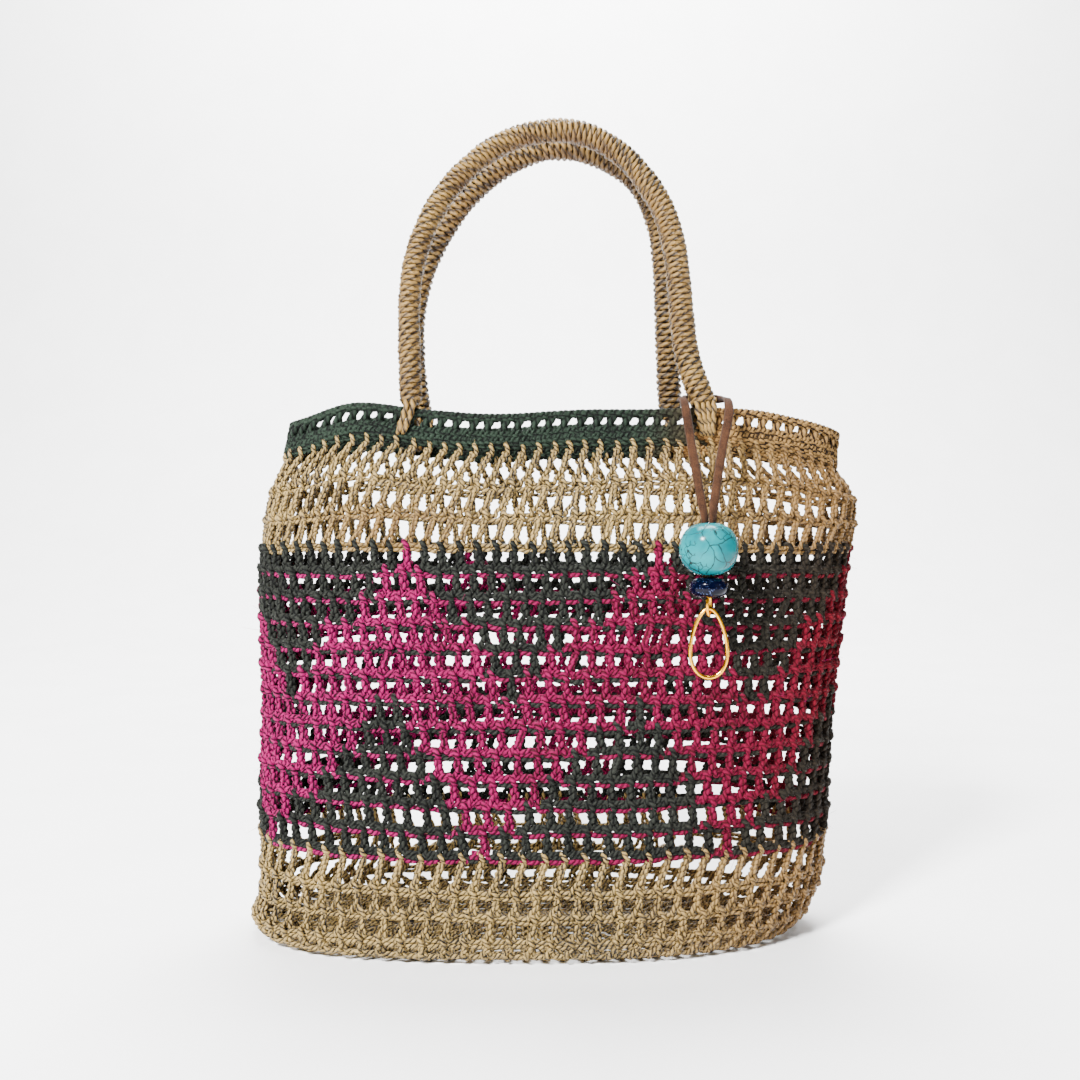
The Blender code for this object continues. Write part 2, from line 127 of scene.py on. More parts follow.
def smooth_route(route: Sequence[Sequence[float]], count: int) -> np.ndarray:
    """Points at even steps along a smooth curve through a route.

    Args:
        route: The points that the curve passes.
        count: How many points are wanted.

    Returns:
        An array of count rows.
    """
    base = np.array(route, float)
    ends = np.vstack([base[0] * 2 - base[1], base, base[-1] * 2 - base[-2]])
    t = np.linspace(0, 1, 24, endpoint=False)[:, None]
    spans = []
    for a, b, c, d in zip(ends, ends[1:], ends[2:], ends[3:]):
        spans.append(0.5 * (2 * b + (c - a) * t + (2 * a - 5 * b + 4 * c - d) * t**2
                            + (3 * b - a - 3 * c + d) * t**3))
    fine = np.vstack(spans + [base[-1:]])
    run = np.concatenate([[0.0], np.cumsum(np.linalg.norm(np.diff(fine, axis=0), axis=1))])
    wanted = np.linspace(0, run[-1], count)
    return np.stack([np.interp(wanted, run, fine[:, k]) for k in range(fine.shape[1])], axis=1)


def line_length(line: np.ndarray) -> float:
    """Length of a line of points."""
    return float(np.linalg.norm(np.diff(line, axis=0), axis=1).sum())


@dataclass
class BagWall:
    """Where the knotted wall and base stand, looked up by level and way round.

    A level above zero is a height on the wall, one below zero is the way in from the
    foot over the base. A share runs once round, from the middle of the front to +X.
    """

    base_reach: float = 0.0425
    spine_left: float = -0.072
    spine_right: float = 0.055
    top: float = 0.2075
    samples: int = 1080
    sunk: float = 0.0015        # the strands' middle lies this far inside the frame's wall
    levels: np.ndarray = field(init=False)
    places: np.ndarray = field(init=False)
    outward: np.ndarray = field(init=False)
    around: np.ndarray = field(init=False)

    def __post_init__(self) -> None:
        """Works out the table of places that the lookups read."""
        below = np.linspace(-0.97 * self.base_reach, 0, 36, endpoint=False)
        self.levels = np.concatenate([below, np.linspace(0, self.top, 150)])
        rings = [self._ring(level) for level in self.levels]
        self.places = np.array(rings)
        closed = np.concatenate([self.places, self.places[:, :1]], axis=1)
        self.around = np.linalg.norm(np.diff(closed, axis=1), axis=2).sum(axis=1)
        sideways = np.roll(self.places, -1, axis=1) - np.roll(self.places, 1, axis=1)
        upward = np.gradient(self.places, axis=0)
        self.outward = unit(np.cross(sideways, upward))

    def _ring(self, level: float) -> np.ndarray:
        """Evenly spaced points round the bag at one level."""
        height = np.array([max(level, 0.0)])
        left, right, deep, boxy_left, boxy_right, pinch = (
            float(smooth_lookup(SECTIONS, column, height)[0]) for column in range(1, 7)
        )
        angle = np.linspace(0, 2 * math.pi, 2161)
        s, c = np.sin(angle), np.cos(angle)
        reach = np.where(s > 0, right, left)
        boxy = np.where(s > 0, boxy_right, boxy_left)
        x = np.sign(s) * reach * np.abs(s) ** (2 / boxy)
        y = -np.sign(c) * deep * np.abs(c) ** (2 / boxy)
        y -= np.sign(y) * np.minimum(pinch * np.exp(-((x / PINCH_SPREAD) ** 2)), np.abs(y))
        if level < 0:
            spine = np.clip(x, self.spine_left, self.spine_right)
            t = -level / self.base_reach
            x, y = spine + (x - spine) * (1 - t), y * (1 - t)
        run = np.concatenate([[0.0], np.cumsum(np.hypot(np.diff(x), np.diff(y)))])
        wanted = np.linspace(0, run[-1], self.samples, endpoint=False)
        x, y = np.interp(wanted, run, x), np.interp(wanted, run, y)
        t = np.clip((height - RISE_FROM) / (RISE_FULL - RISE_FROM), 0, 1)
        z = height + smooth_lookup(RISES, 1, x) * t * t * (3 - 2 * t)
        return np.stack([x, y, np.broadcast_to(z, x.shape)], axis=1)

    def way_round(self, level: np.ndarray) -> np.ndarray:
        """Length of the way round the bag at the levels."""
        return np.interp(level, self.levels, self.around)

    def _read(self, table: np.ndarray, level: np.ndarray, share: np.ndarray) -> np.ndarray:
        """Values of a table between its rows and columns."""
        k = np.clip(np.searchsorted(self.levels, level) - 1, 0, len(self.levels) - 2)
        u = np.clip((level - self.levels[k]) / (self.levels[k + 1] - self.levels[k]), 0, 1)
        place = (share % 1.0) * self.samples
        j = np.floor(place).astype(int)
        v = (place - j)[:, None]
        j, n, u = j % self.samples, (j + 1) % self.samples, u[:, None]
        lower = table[k, j] * (1 - v) + table[k, n] * v
        upper = table[k + 1, j] * (1 - v) + table[k + 1, n] * v
        return lower * (1 - u) + upper * u

    def place(self, level: np.ndarray, share: np.ndarray, out: np.ndarray) -> np.ndarray:
        """Points on the strands' middle layer.

        Args:
            level: Height on the wall, or minus the way in over the base.
            share: Share of the way round.
            out: How far outward from the layer.

        Returns:
            One point for each level.
        """
        point = self._read(self.places, level, share)
        normal = unit(self._read(self.outward, level, share))
        return point + normal * (np.asarray(out) - self.sunk)[:, None]

    def share_at(self, level: float, across: float, back: bool) -> float:
        """The share at which the ring of a level passes a place across the bag."""
        ring = self.places[int(np.argmin(np.abs(self.levels - level)))]
        side = ring[:, 1] > 0 if back else ring[:, 1] <= 0
        gap = np.where(side, np.abs(ring[:, 0] - across), 9.0)
        return float(np.argmin(gap)) / self.samples


class Yarn(Enum):
    """The yarns and cords, by the record's material slot."""

    NATURAL = "natural_yarn"
    DARK = "dark_yarn"
    MAGENTA = "magenta_yarn"
    GREEN = "green_yarn"
    STRAW = "straw_yarn"
    HANDLE = "handle_cord"


class Board:
    """A node tree that is being wired."""

    def __init__(self, tree: bpy.types.NodeTree) -> None:
        """Takes the tree that the nodes go in."""
        self.tree = tree

    def feed(self, socket: Socket, value: Feed) -> None:
        """Links a socket to another, or sets its own value."""
        if isinstance(value, bpy.types.NodeSocket):
            self.tree.links.new(value, socket)
        else:
            socket.default_value = value

    def node(self, kind: str, feeds: Optional[dict] = None, **settings) -> bpy.types.Node:
        """Adds a node.

        Args:
            kind: The node's type.
            feeds: Values or sockets for its named inputs.
            **settings: The node's own settings.

        Returns:
            The new node.
        """
        made = self.tree.nodes.new(kind)
        for name, value in settings.items():
            setattr(made, name, value)
        for name, value in (feeds or {}).items():
            self.feed(made.inputs[name], value)
        return made

    def math(self, operation: str, *values: Feed) -> Socket:
        """A Math node's output."""
        made = self.tree.nodes.new("ShaderNodeMath")
        made.operation = operation
        for socket, value in zip(made.inputs, values):
            self.feed(socket, value)
        return made.outputs[0]

    def mix(self, share: Feed, first: Feed, second: Feed, blend: str = "MIX") -> Socket:
        """The colour between two others."""
        made = self.node("ShaderNodeMix", data_type="RGBA", blend_type=blend)
        self.feed(made.inputs[0], share)
        self.feed(made.inputs[6], first)
        self.feed(made.inputs[7], second)
        return made.outputs[2]

    def span(self, value: Feed, low: float, high: float, start: float, end: float) -> Socket:
        """A value moved smoothly from one range into another, and held in it."""
        made = self.node("ShaderNodeMapRange", {"Value": value}, interpolation_type="SMOOTHSTEP")
        for name, limit in (("From Min", low), ("From Max", high), ("To Min", start), ("To Max", end)):
            made.inputs[name].default_value = limit
        return made.outputs["Result"]

    def noise(self, scale: Feed, detail: float = 3.0, vector: Optional[Socket] = None) -> Socket:
        """A noise pattern's value in the object's own space."""
        if vector is None:
            vector = self.node("ShaderNodeTexCoord").outputs["Object"]
        feeds = {"Vector": vector, "Scale": scale, "Detail": detail}
        return self.node("ShaderNodeTexNoise", feeds).outputs["Fac"]


class Effects:
    """The shader node groups that the materials share, each built once."""

    @staticmethod
    def _new(name: str, inputs: dict, outputs: dict) -> tuple[Board, dict, bpy.types.Node]:
        """Starts a group.

        Args:
            name: The group's name.
            inputs: Default values by socket name, a number or a colour.
            outputs: Socket types by name.

        Returns:
            Its board, its input sockets by name and its output node.
        """
        tree = bpy.data.node_groups.new(name, "ShaderNodeTree")
        for label, value in inputs.items():
            kind = "NodeSocketColor" if isinstance(value, tuple) else "NodeSocketFloat"
            made = tree.interface.new_socket(name=label, in_out="INPUT", socket_type=kind)
            made.default_value = value
        for label, kind in outputs.items():
            tree.interface.new_socket(name=label, in_out="OUTPUT", socket_type=kind)
        board = Board(tree)
        entry = board.node("NodeGroupInput")
        leave = board.node("NodeGroupOutput")
        return board, {label: entry.outputs[label] for label in inputs}, leave

    @cached_property
    def ply(self) -> bpy.types.NodeTree:
        """Ridges of a strand's twisted plies, from UVs of metres along and turns round."""
        board, given, leave = self._new(
            "Twisted plies",
            {"Turn Length": 0.004, "Plies": 2.0, "Wander": 0.15},
            {"Ridge": "NodeSocketFloat"},
        )
        uv = board.node("ShaderNodeSeparateXYZ", {"Vector": board.node("ShaderNodeUVMap").outputs[0]})
        along = board.math("DIVIDE", uv.outputs["X"], given["Turn Length"])
        loose = board.math("MULTIPLY", board.noise(260.0, 1.0), given["Wander"])
        phase = board.math("ADD", board.math("ADD", along, uv.outputs["Y"]), loose)
        half_turns = board.math("MULTIPLY", given["Plies"], math.pi)
        wave = board.math("SINE", board.math("MULTIPLY", phase, half_turns))
        ridge = board.math("POWER", board.math("ABSOLUTE", wave), 0.8)
        board.feed(leave.inputs["Ridge"], ridge)
        return board.tree

    @cached_property
    def fibre(self) -> bpy.types.NodeTree:
        """Fine fibres that run along a strand, laid over by a slower blotch."""
        board, given, leave = self._new(
            "Plant fibres",
            {"Blotch Size": 60.0},
            {"Streak": "NodeSocketFloat", "Blotch": "NodeSocketFloat"},
        )
        uv = board.node("ShaderNodeSeparateXYZ", {"Vector": board.node("ShaderNodeUVMap").outputs[0]})
        twist = board.math("ADD", uv.outputs["Y"], board.math("MULTIPLY", uv.outputs["X"], 210.0))
        along = board.math("MULTIPLY", uv.outputs["X"], 420.0)
        lines = board.node("ShaderNodeCombineXYZ", {"X": along, "Y": board.math("MULTIPLY", twist, 9.0)})
        fine = board.noise(1.0, 4.0, lines.outputs[0])
        board.feed(leave.inputs["Streak"], board.span(fine, 0.28, 0.72, 0.0, 1.0))
        slow = board.noise(given["Blotch Size"], 3.0)
        board.feed(leave.inputs["Blotch"], board.span(slow, 0.3, 0.7, 0.0, 1.0))
        return board.tree

    @cached_property
    def yarn_colour(self) -> bpy.types.NodeTree:
        """Colour of a yarn from its ridges, fibres and the tones stored in its mesh, with painted shade in the
        hollows between the plies.
        """
        grey = (0.5, 0.5, 0.5, 1.0)
        board, given, leave = self._new(
            "Yarn colour",
            {"Light": grey, "Deep": grey, "Tinge": grey, "Ridge": 1.0, "Streak": 0.5,
             "Blotch": 0.5, "Tone": 0.5, "Tinge Share": 0.0},
            {"Color": "NodeSocketColor"},
        )
        tinged = board.mix(given["Tinge Share"], given["Light"], given["Tinge"])
        # painted shade: the hollows between the plies go towards the deep colour
        groove_shade = board.math("MULTIPLY", board.math("SUBTRACT", 1.0, given["Ridge"]), 1.35)
        streak = board.math("MULTIPLY", board.math("SUBTRACT", given["Streak"], 0.5), 0.65)
        blotch = board.math("MULTIPLY", board.math("SUBTRACT", given["Blotch"], 0.5), 0.35)
        tone = board.math("SUBTRACT", given["Tone"], 0.25)
        shade = board.math("ADD", board.math("ADD", groove_shade, streak), board.math("ADD", blotch, tone))
        held = board.node("ShaderNodeClamp", {"Value": shade}).outputs[0]
        deep = board.mix(board.math("MULTIPLY", given["Tinge Share"], 0.5), given["Deep"], given["Tinge"])
        board.feed(leave.inputs["Color"], board.mix(held, tinged, deep))
        return board.tree

    @cached_property
    def handling(self) -> bpy.types.NodeTree:
        """Faint smears and dust of handling, for hard surfaces and the floor."""
        board, given, leave = self._new(
            "Handling marks",
            {"Size": 90.0, "Amount": 0.1, "Roughness": 0.2},
            {"Roughness": "NodeSocketFloat", "Mask": "NodeSocketFloat"},
        )
        smear = board.span(board.noise(given["Size"], 5.0), 0.35, 0.75, 0.0, 1.0)
        rough = board.math("ADD", given["Roughness"], board.math("MULTIPLY", smear, given["Amount"]))
        board.feed(leave.inputs["Roughness"], rough)
        board.feed(leave.inputs["Mask"], smear)
        return board.tree


EFFECTS = Effects()


def new_material(name: str) -> tuple[bpy.types.Material, Board, bpy.types.Node]:
    """Starts a material and returns it with its board and its Principled node."""
    made = bpy.data.materials.new(name)
    made.use_nodes = True
    board = Board(made.node_tree)
    return made, board, made.node_tree.nodes["Principled BSDF"]


@dataclass(frozen=True)
class YarnFinish:
    """A twisted plant-fibre yarn or cord."""

    yarn: Yarn
    light: tuple
    deep: tuple
    tinge: tuple
    turn_length: float = 0.0042
    plies: float = 2.0
    relief: float = 0.00055
    roughness: float = 0.8
    gloss: float = 0.14

    def material(self) -> bpy.types.Material:
        """Builds the yarn's material."""
        made, board, shader = new_material(self.yarn.value)
        ply = board.node("ShaderNodeGroup", node_tree=EFFECTS.ply)
        ply.inputs["Turn Length"].default_value = self.turn_length
        ply.inputs["Plies"].default_value = self.plies
        fibre = board.node("ShaderNodeGroup", node_tree=EFFECTS.fibre)
        tone = board.node("ShaderNodeAttribute", attribute_name="tone")
        tinge = board.node("ShaderNodeAttribute", attribute_name="tinge")
        feeds = {
            "Light": (*self.light, 1.0), "Deep": (*self.deep, 1.0), "Tinge": (*self.tinge, 1.0),
            "Ridge": ply.outputs["Ridge"], "Streak": fibre.outputs["Streak"],
            "Blotch": fibre.outputs["Blotch"], "Tone": tone.outputs["Fac"],
            "Tinge Share": tinge.outputs["Fac"],
        }
        colour = board.node("ShaderNodeGroup", node_tree=EFFECTS.yarn_colour)
        for name, value in feeds.items():
            board.feed(colour.inputs[name], value)
        board.feed(shader.inputs["Base Color"], colour.outputs["Color"])
        height = board.math("ADD", ply.outputs["Ridge"],
                            board.math("MULTIPLY", fibre.outputs["Streak"], 0.3))
        bump = board.node("ShaderNodeBump", {"Height": height, "Strength": 0.9, "Distance": self.relief})
        board.feed(shader.inputs["Normal"], bump.outputs["Normal"])
        shader.inputs["Roughness"].default_value = self.roughness
        shader.inputs["Specular IOR Level"].default_value = self.gloss
        return made


# light is the colour on the plies' ridges and deep the colour of the darker fibres and of the hollows between the
# plies, painted there as shade. The natural and magenta tinges are painted shade on the right side, away from the
# key light, and the natural tinge is also a brown patch at the front left; the handle tinge is painted shade on the
# wraps' undersides.
FINISHES = {
    Yarn.NATURAL: YarnFinish(Yarn.NATURAL, (0.31, 0.207, 0.065), (0.0050, 0.0024, 0.0008), (0.17, 0.085, 0.020),
                             roughness=0.55, gloss=0.32),
    Yarn.DARK: YarnFinish(Yarn.DARK, (0.0150, 0.0165, 0.0130), (0.0002, 0.0003, 0.0003), (0.013, 0.0085, 0.0045)),
    Yarn.MAGENTA: YarnFinish(Yarn.MAGENTA, (0.24, 0.0001, 0.072), (0.0070, 0.0001, 0.0016), (0.09, 0.0002, 0.0052)),
    Yarn.GREEN: YarnFinish(Yarn.GREEN, (0.0125, 0.0220, 0.0140), (0.0003, 0.0010, 0.0005), (0.030, 0.022, 0.010),
                           turn_length=0.005),
    Yarn.STRAW: YarnFinish(Yarn.STRAW, (0.235, 0.134, 0.044), (0.0070, 0.0028, 0.0008), (0.13, 0.058, 0.014),
                           turn_length=0.005),
    Yarn.HANDLE: YarnFinish(Yarn.HANDLE, (0.240, 0.143, 0.038), (0.0035, 0.0015, 0.0006), (0.080, 0.035, 0.008),
                            turn_length=0.0078, roughness=0.5, gloss=0.32),
}


class StrandMesh:
    """Collects round and shaped strands, and makes one joined mesh of them."""

    def __init__(self) -> None:
        """Starts with nothing in it."""
        self.points: list[np.ndarray] = []
        self.faces: list[np.ndarray] = []
        self.uvs: list[np.ndarray] = []
        self.tones: list[np.ndarray] = []
        self.tinges: list[np.ndarray] = []
        self.count = 0

    @staticmethod
    def carried_sides(line: np.ndarray) -> tuple[np.ndarray, np.ndarray]:
        """Two directions square to a line, carried along it without twist."""
        ways = [Vector(way) for way in unit(np.gradient(line, axis=0))]
        side = ways[0].orthogonal().normalized()
        sides = [side.copy()]
        for here, there in zip(ways, ways[1:]):
            side = here.rotation_difference(there) @ side
            sides.append(side.copy())
        forward = np.array(ways)
        first = np.array(sides)
        first = unit(first - forward * (first * forward).sum(axis=1, keepdims=True))
        return first, np.cross(forward, first)

    def _keep(self, points: np.ndarray, faces: np.ndarray, uv: np.ndarray,
              tone: np.ndarray, tinge: np.ndarray) -> None:
        """Stores points, faces of four or three corners, and their values."""
        self.points.append(points)
        self.faces.append(faces + self.count)
        self.uvs.append(uv)
        self.tones.append(tone)
        self.tinges.append(tinge)
        self.count += len(points)

    def add(self, line: np.ndarray, radius: Union[float, np.ndarray], sides: int,
            tone: Union[float, np.ndarray] = 0.3, tinge: Union[float, np.ndarray] = 0.0,
            closed: bool = False, first: Optional[np.ndarray] = None) -> None:
        """Adds a strand.

        Args:
            line: The points of its middle line.
            radius: One radius, one for each point, or one for each point and side.
            sides: Corners of its cross-section.
            tone: How deep its colour is, one value or one for each point.
            tinge: How far its colour leans to the tinge, in the same way.
            closed: Whether its ends join, and otherwise they are capped.
            first: Directions square to the line that the sides start from.
        """
        count = len(line)
        if first is None:
            first, second = self.carried_sides(line)
        else:
            forward = unit(np.gradient(line, axis=0))
            first = unit(first - forward * (first * forward).sum(axis=1, keepdims=True))
            second = np.cross(forward, first)
        radii = np.broadcast_to(np.asarray(radius, float).reshape(-1, 1) if np.ndim(radius) < 2 else radius,
                                (count, sides))
        angle = 2 * math.pi * np.arange(sides) / sides
        rings = (line[:, None, :] + (radii * np.cos(angle))[:, :, None] * first[:, None, :]
                 + (radii * np.sin(angle))[:, :, None] * second[:, None, :])
        spans = count if closed else count - 1
        r, k = np.meshgrid(np.arange(spans), np.arange(sides), indexing="ij")
        n, there = (k + 1) % sides, (r + 1) % count
        quads = np.stack([r * sides + k, r * sides + n, there * sides + n, there * sides + k], axis=-1)
        run = np.concatenate([[0.0], np.cumsum(np.linalg.norm(np.diff(line, axis=0), axis=1))])
        run = np.append(run, run[-1] + np.linalg.norm(line[0] - line[-1]))
        u = np.stack([run[r], run[r], run[r + 1], run[r + 1]], axis=-1)
        v = np.stack([k, k + 1, k + 1, k], axis=-1) / sides
        faces, uv = quads.reshape(-1, 4), np.stack([u, v], axis=-1).reshape(-1, 4, 2)
        if not closed:
            cap_faces, cap_uv = self._caps(sides, (count - 1) * sides, run[count - 1])
            faces, uv = np.vstack([faces, cap_faces]), np.concatenate([uv, cap_uv])
        spread = np.repeat(np.broadcast_to(tone, (count,)), sides)
        self._keep(rings.reshape(-1, 3), faces, uv, spread,
                   np.repeat(np.broadcast_to(tinge, (count,)), sides))

    @staticmethod
    def _caps(sides: int, last: int, length: float) -> tuple[np.ndarray, np.ndarray]:
        """Fans of triangles over both ends, each written as four corners with one twice."""
        fan = np.array([(0, k, k + 1, k + 1) for k in range(1, sides - 1)])
        faces = np.vstack([fan[:, [0, 2, 1, 1]], fan + last])
        uv = np.full((len(faces), 4, 2), 0.5)
        uv[: len(fan), :, 0] = 0.0
        uv[len(fan):, :, 0] = length
        return faces, uv

    def add_hairs(self, roots: np.ndarray, away: np.ndarray, rng: np.random.Generator,
                  longest: float, tone: float) -> None:
        """Adds loose fibres, thin curved spikes of three sides.

        Args:
            roots: Where they start.
            away: The way off the strand at each root.
            rng: Source of their scatter.
            longest: Length of the longest.
            tone: How deep their colour is.
        """
        count, stations = len(roots), 4
        heading = unit(away + rng.normal(0, 0.75, (count, 3)))
        curl = rng.normal(0, 0.55, (count, 3))
        length = longest * rng.uniform(0.3, 1.0, (count, 1, 1))
        t = np.linspace(0, 1, stations)[None, :, None]
        lines = roots[:, None, :] + length * (heading[:, None, :] * t + curl[:, None, :] * t**2)
        first = unit(np.cross(heading, rng.normal(0, 1, (count, 3))))
        second = np.cross(heading, first)
        thin = np.linspace(0.00009, 0.00003, stations)[None, :, None]
        rings = []
        for k in range(3):
            angle = 2 * math.pi * k / 3
            rings.append(lines + thin * (math.cos(angle) * first + math.sin(angle) * second)[:, None, :])
        points = np.stack(rings, axis=2).reshape(-1, 3)
        one = []
        for r in range(stations - 1):
            for k in range(3):
                n = (k + 1) % 3
                one.append((r * 3 + k, r * 3 + n, r * 3 + 3 + n, r * 3 + 3 + k))
        last = (stations - 1) * 3
        one += [(0, 2, 1, 1), (last, last + 1, last + 2, last + 2)]
        block = np.array(one)[None] + (np.arange(count) * stations * 3)[:, None, None]
        faces = block.reshape(-1, 4)
        self._keep(points, faces, np.full((len(faces), 4, 2), 0.25), np.full(len(points), tone),
                   np.zeros(len(points)))

    def make(self, name: str) -> bpy.types.Object:
        """Makes the object.

        Args:
            name: The object's name.

        Returns:
            A mesh object with UVs and the point values tone and tinge.
        """
        points = np.concatenate(self.points)
        points[:, 2] = np.maximum(points[:, 2], 0.0)
        faces, uv = np.concatenate(self.faces), np.concatenate(self.uvs)
        triangle = faces[:, 2] == faces[:, 3]
        kept = np.ones(faces.shape, bool)
        kept[:, 3] = ~triangle
        sizes = kept.sum(axis=1)
        mesh = bpy.data.meshes.new(name)
        mesh.vertices.add(len(points))
        mesh.vertices.foreach_set("co", points.astype(np.float32).ravel())
        mesh.loops.add(int(sizes.sum()))
        mesh.loops.foreach_set("vertex_index", faces[kept].astype(np.int32))
        mesh.polygons.add(len(faces))
        starts = np.concatenate([[0], np.cumsum(sizes)[:-1]]).astype(np.int32)
        mesh.polygons.foreach_set("loop_start", starts)
        layer = mesh.uv_layers.new(name="UVMap")
        layer.data.foreach_set("uv", uv[kept].astype(np.float32).ravel())
        for label, values in (("tone", self.tones), ("tinge", self.tinges)):
            stored = mesh.attributes.new(label, "FLOAT", "POINT")
            stored.data.foreach_set("value", np.concatenate(values).astype(np.float32))
        mesh.update(calc_edges=True)
        mesh.validate()
        mesh.shade_smooth()
        made = bpy.data.objects.new(name, mesh)
        bpy.context.scene.collection.objects.link(made)
        return made


def settle(piece: bpy.types.Object, material: bpy.types.Material, slot: str, *nodes: str) -> None:
    """Gives a piece its material and its place in the frame.

    Args:
        piece: The new piece.
        material: What it is made of.
        slot: The record's material slot; not used.
        *nodes: The frame's nodes that it stands for.
    """
    piece.data.materials.append(material)
    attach(piece, "root")
    if nodes:
        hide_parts(*nodes)
    LOG.info("%s: %d faces", piece.name, len(piece.data.polygons))


def lobed(count: int, sides: int, radius: float, depth: float, turn_length: float,
          length: float, start: float = 0.0) -> np.ndarray:
    """Radii of a cord of two plies that twist round each other.

    Args:
        count: Points along the cord.
        sides: Corners of its cross-section.
        radius: Mean radius.
        depth: How much the waist is drawn in, as a share of the radius.
        turn_length: Length in which the plies turn once.
        length: The cord's length.
        start: Where the twist starts, in turns.

    Returns:
        One radius for each point and corner.
    """
    turn = 2 * math.pi * (np.linspace(0, length / turn_length, count) + start)
    angle = 2 * math.pi * np.arange(sides) / sides
    return radius * (1 + depth * np.cos(2 * (angle[None, :] - turn[:, None])))


@dataclass(frozen=True)
class StitchShape:
    """One stitch of the net: a yarn that comes off the bar, climbs, hooks over the bar
    above from behind, and comes down twisted round its own way up. Lengths in metres,
    and the tables in millimetres sideways, upward and outward."""

    turns: int
    steps: int
    low: float                  # where the column's foot stands, sideways
    high: float                 # where its top stands
    twist: float = 0.00078      # from the column's middle to each of its two strands
    foot: float = 0.0030
    neck: float = 0.0019
    climb: tuple = ((-1.9, -0.15, 0.15), (-1.65, 0.25, 0.55), (-1.8, 1.15, 0.65), (-1.3, 2.1, 0.45))
    hook: tuple = ((-1.0, -0.9, -0.95), (-1.3, 0.2, -1.4), (-1.55, 1.1, -0.75), (-1.4, 1.5, 0.45),
                   (-0.85, 1.1, 1.35), (-0.05, 0.05, 1.55), (0.55, -1.0, 1.0))
    settle: tuple = ((0.85, 2.05, 0.1), (0.75, 1.05, 0.3), (1.3, 0.15, 0.15))

    def path(self, tall: float, half_pitch: float) -> np.ndarray:
        """The yarn's way through one stitch.

        Args:
            tall: From the stitch's own bar to the bar above.
            half_pitch: Half the room that the stitch has sideways.

        Returns:
            Rows of sideways, upward and outward, from the stitch's middle on its bar.
        """
        t = np.linspace(0, 1, self.steps)
        rise = self.foot + (tall - self.neck - self.foot) * t
        middle = self.low + (self.high - self.low) * t
        angle = math.pi - 2 * math.pi * self.turns * t
        ring = self.twist * np.stack([np.cos(angle), 0 * t, np.sin(angle)], axis=1)
        core = np.stack([middle, rise, 0 * t], axis=1)
        low, high = np.array([self.low, 0, 0]), np.array([self.high, tall, 0])
        return np.vstack([
            [(-half_pitch, 0, 0)],
            np.array(self.climb) * MM + low,
            core + ring,
            np.array(self.hook) * MM + high,
            (core - ring)[::-1],
            np.array(self.settle) * MM + low,
        ])


class RowKind(Enum):
    """The kinds of rounds in the net."""

    NATURAL = "natural"
    PATTERN = "pattern"


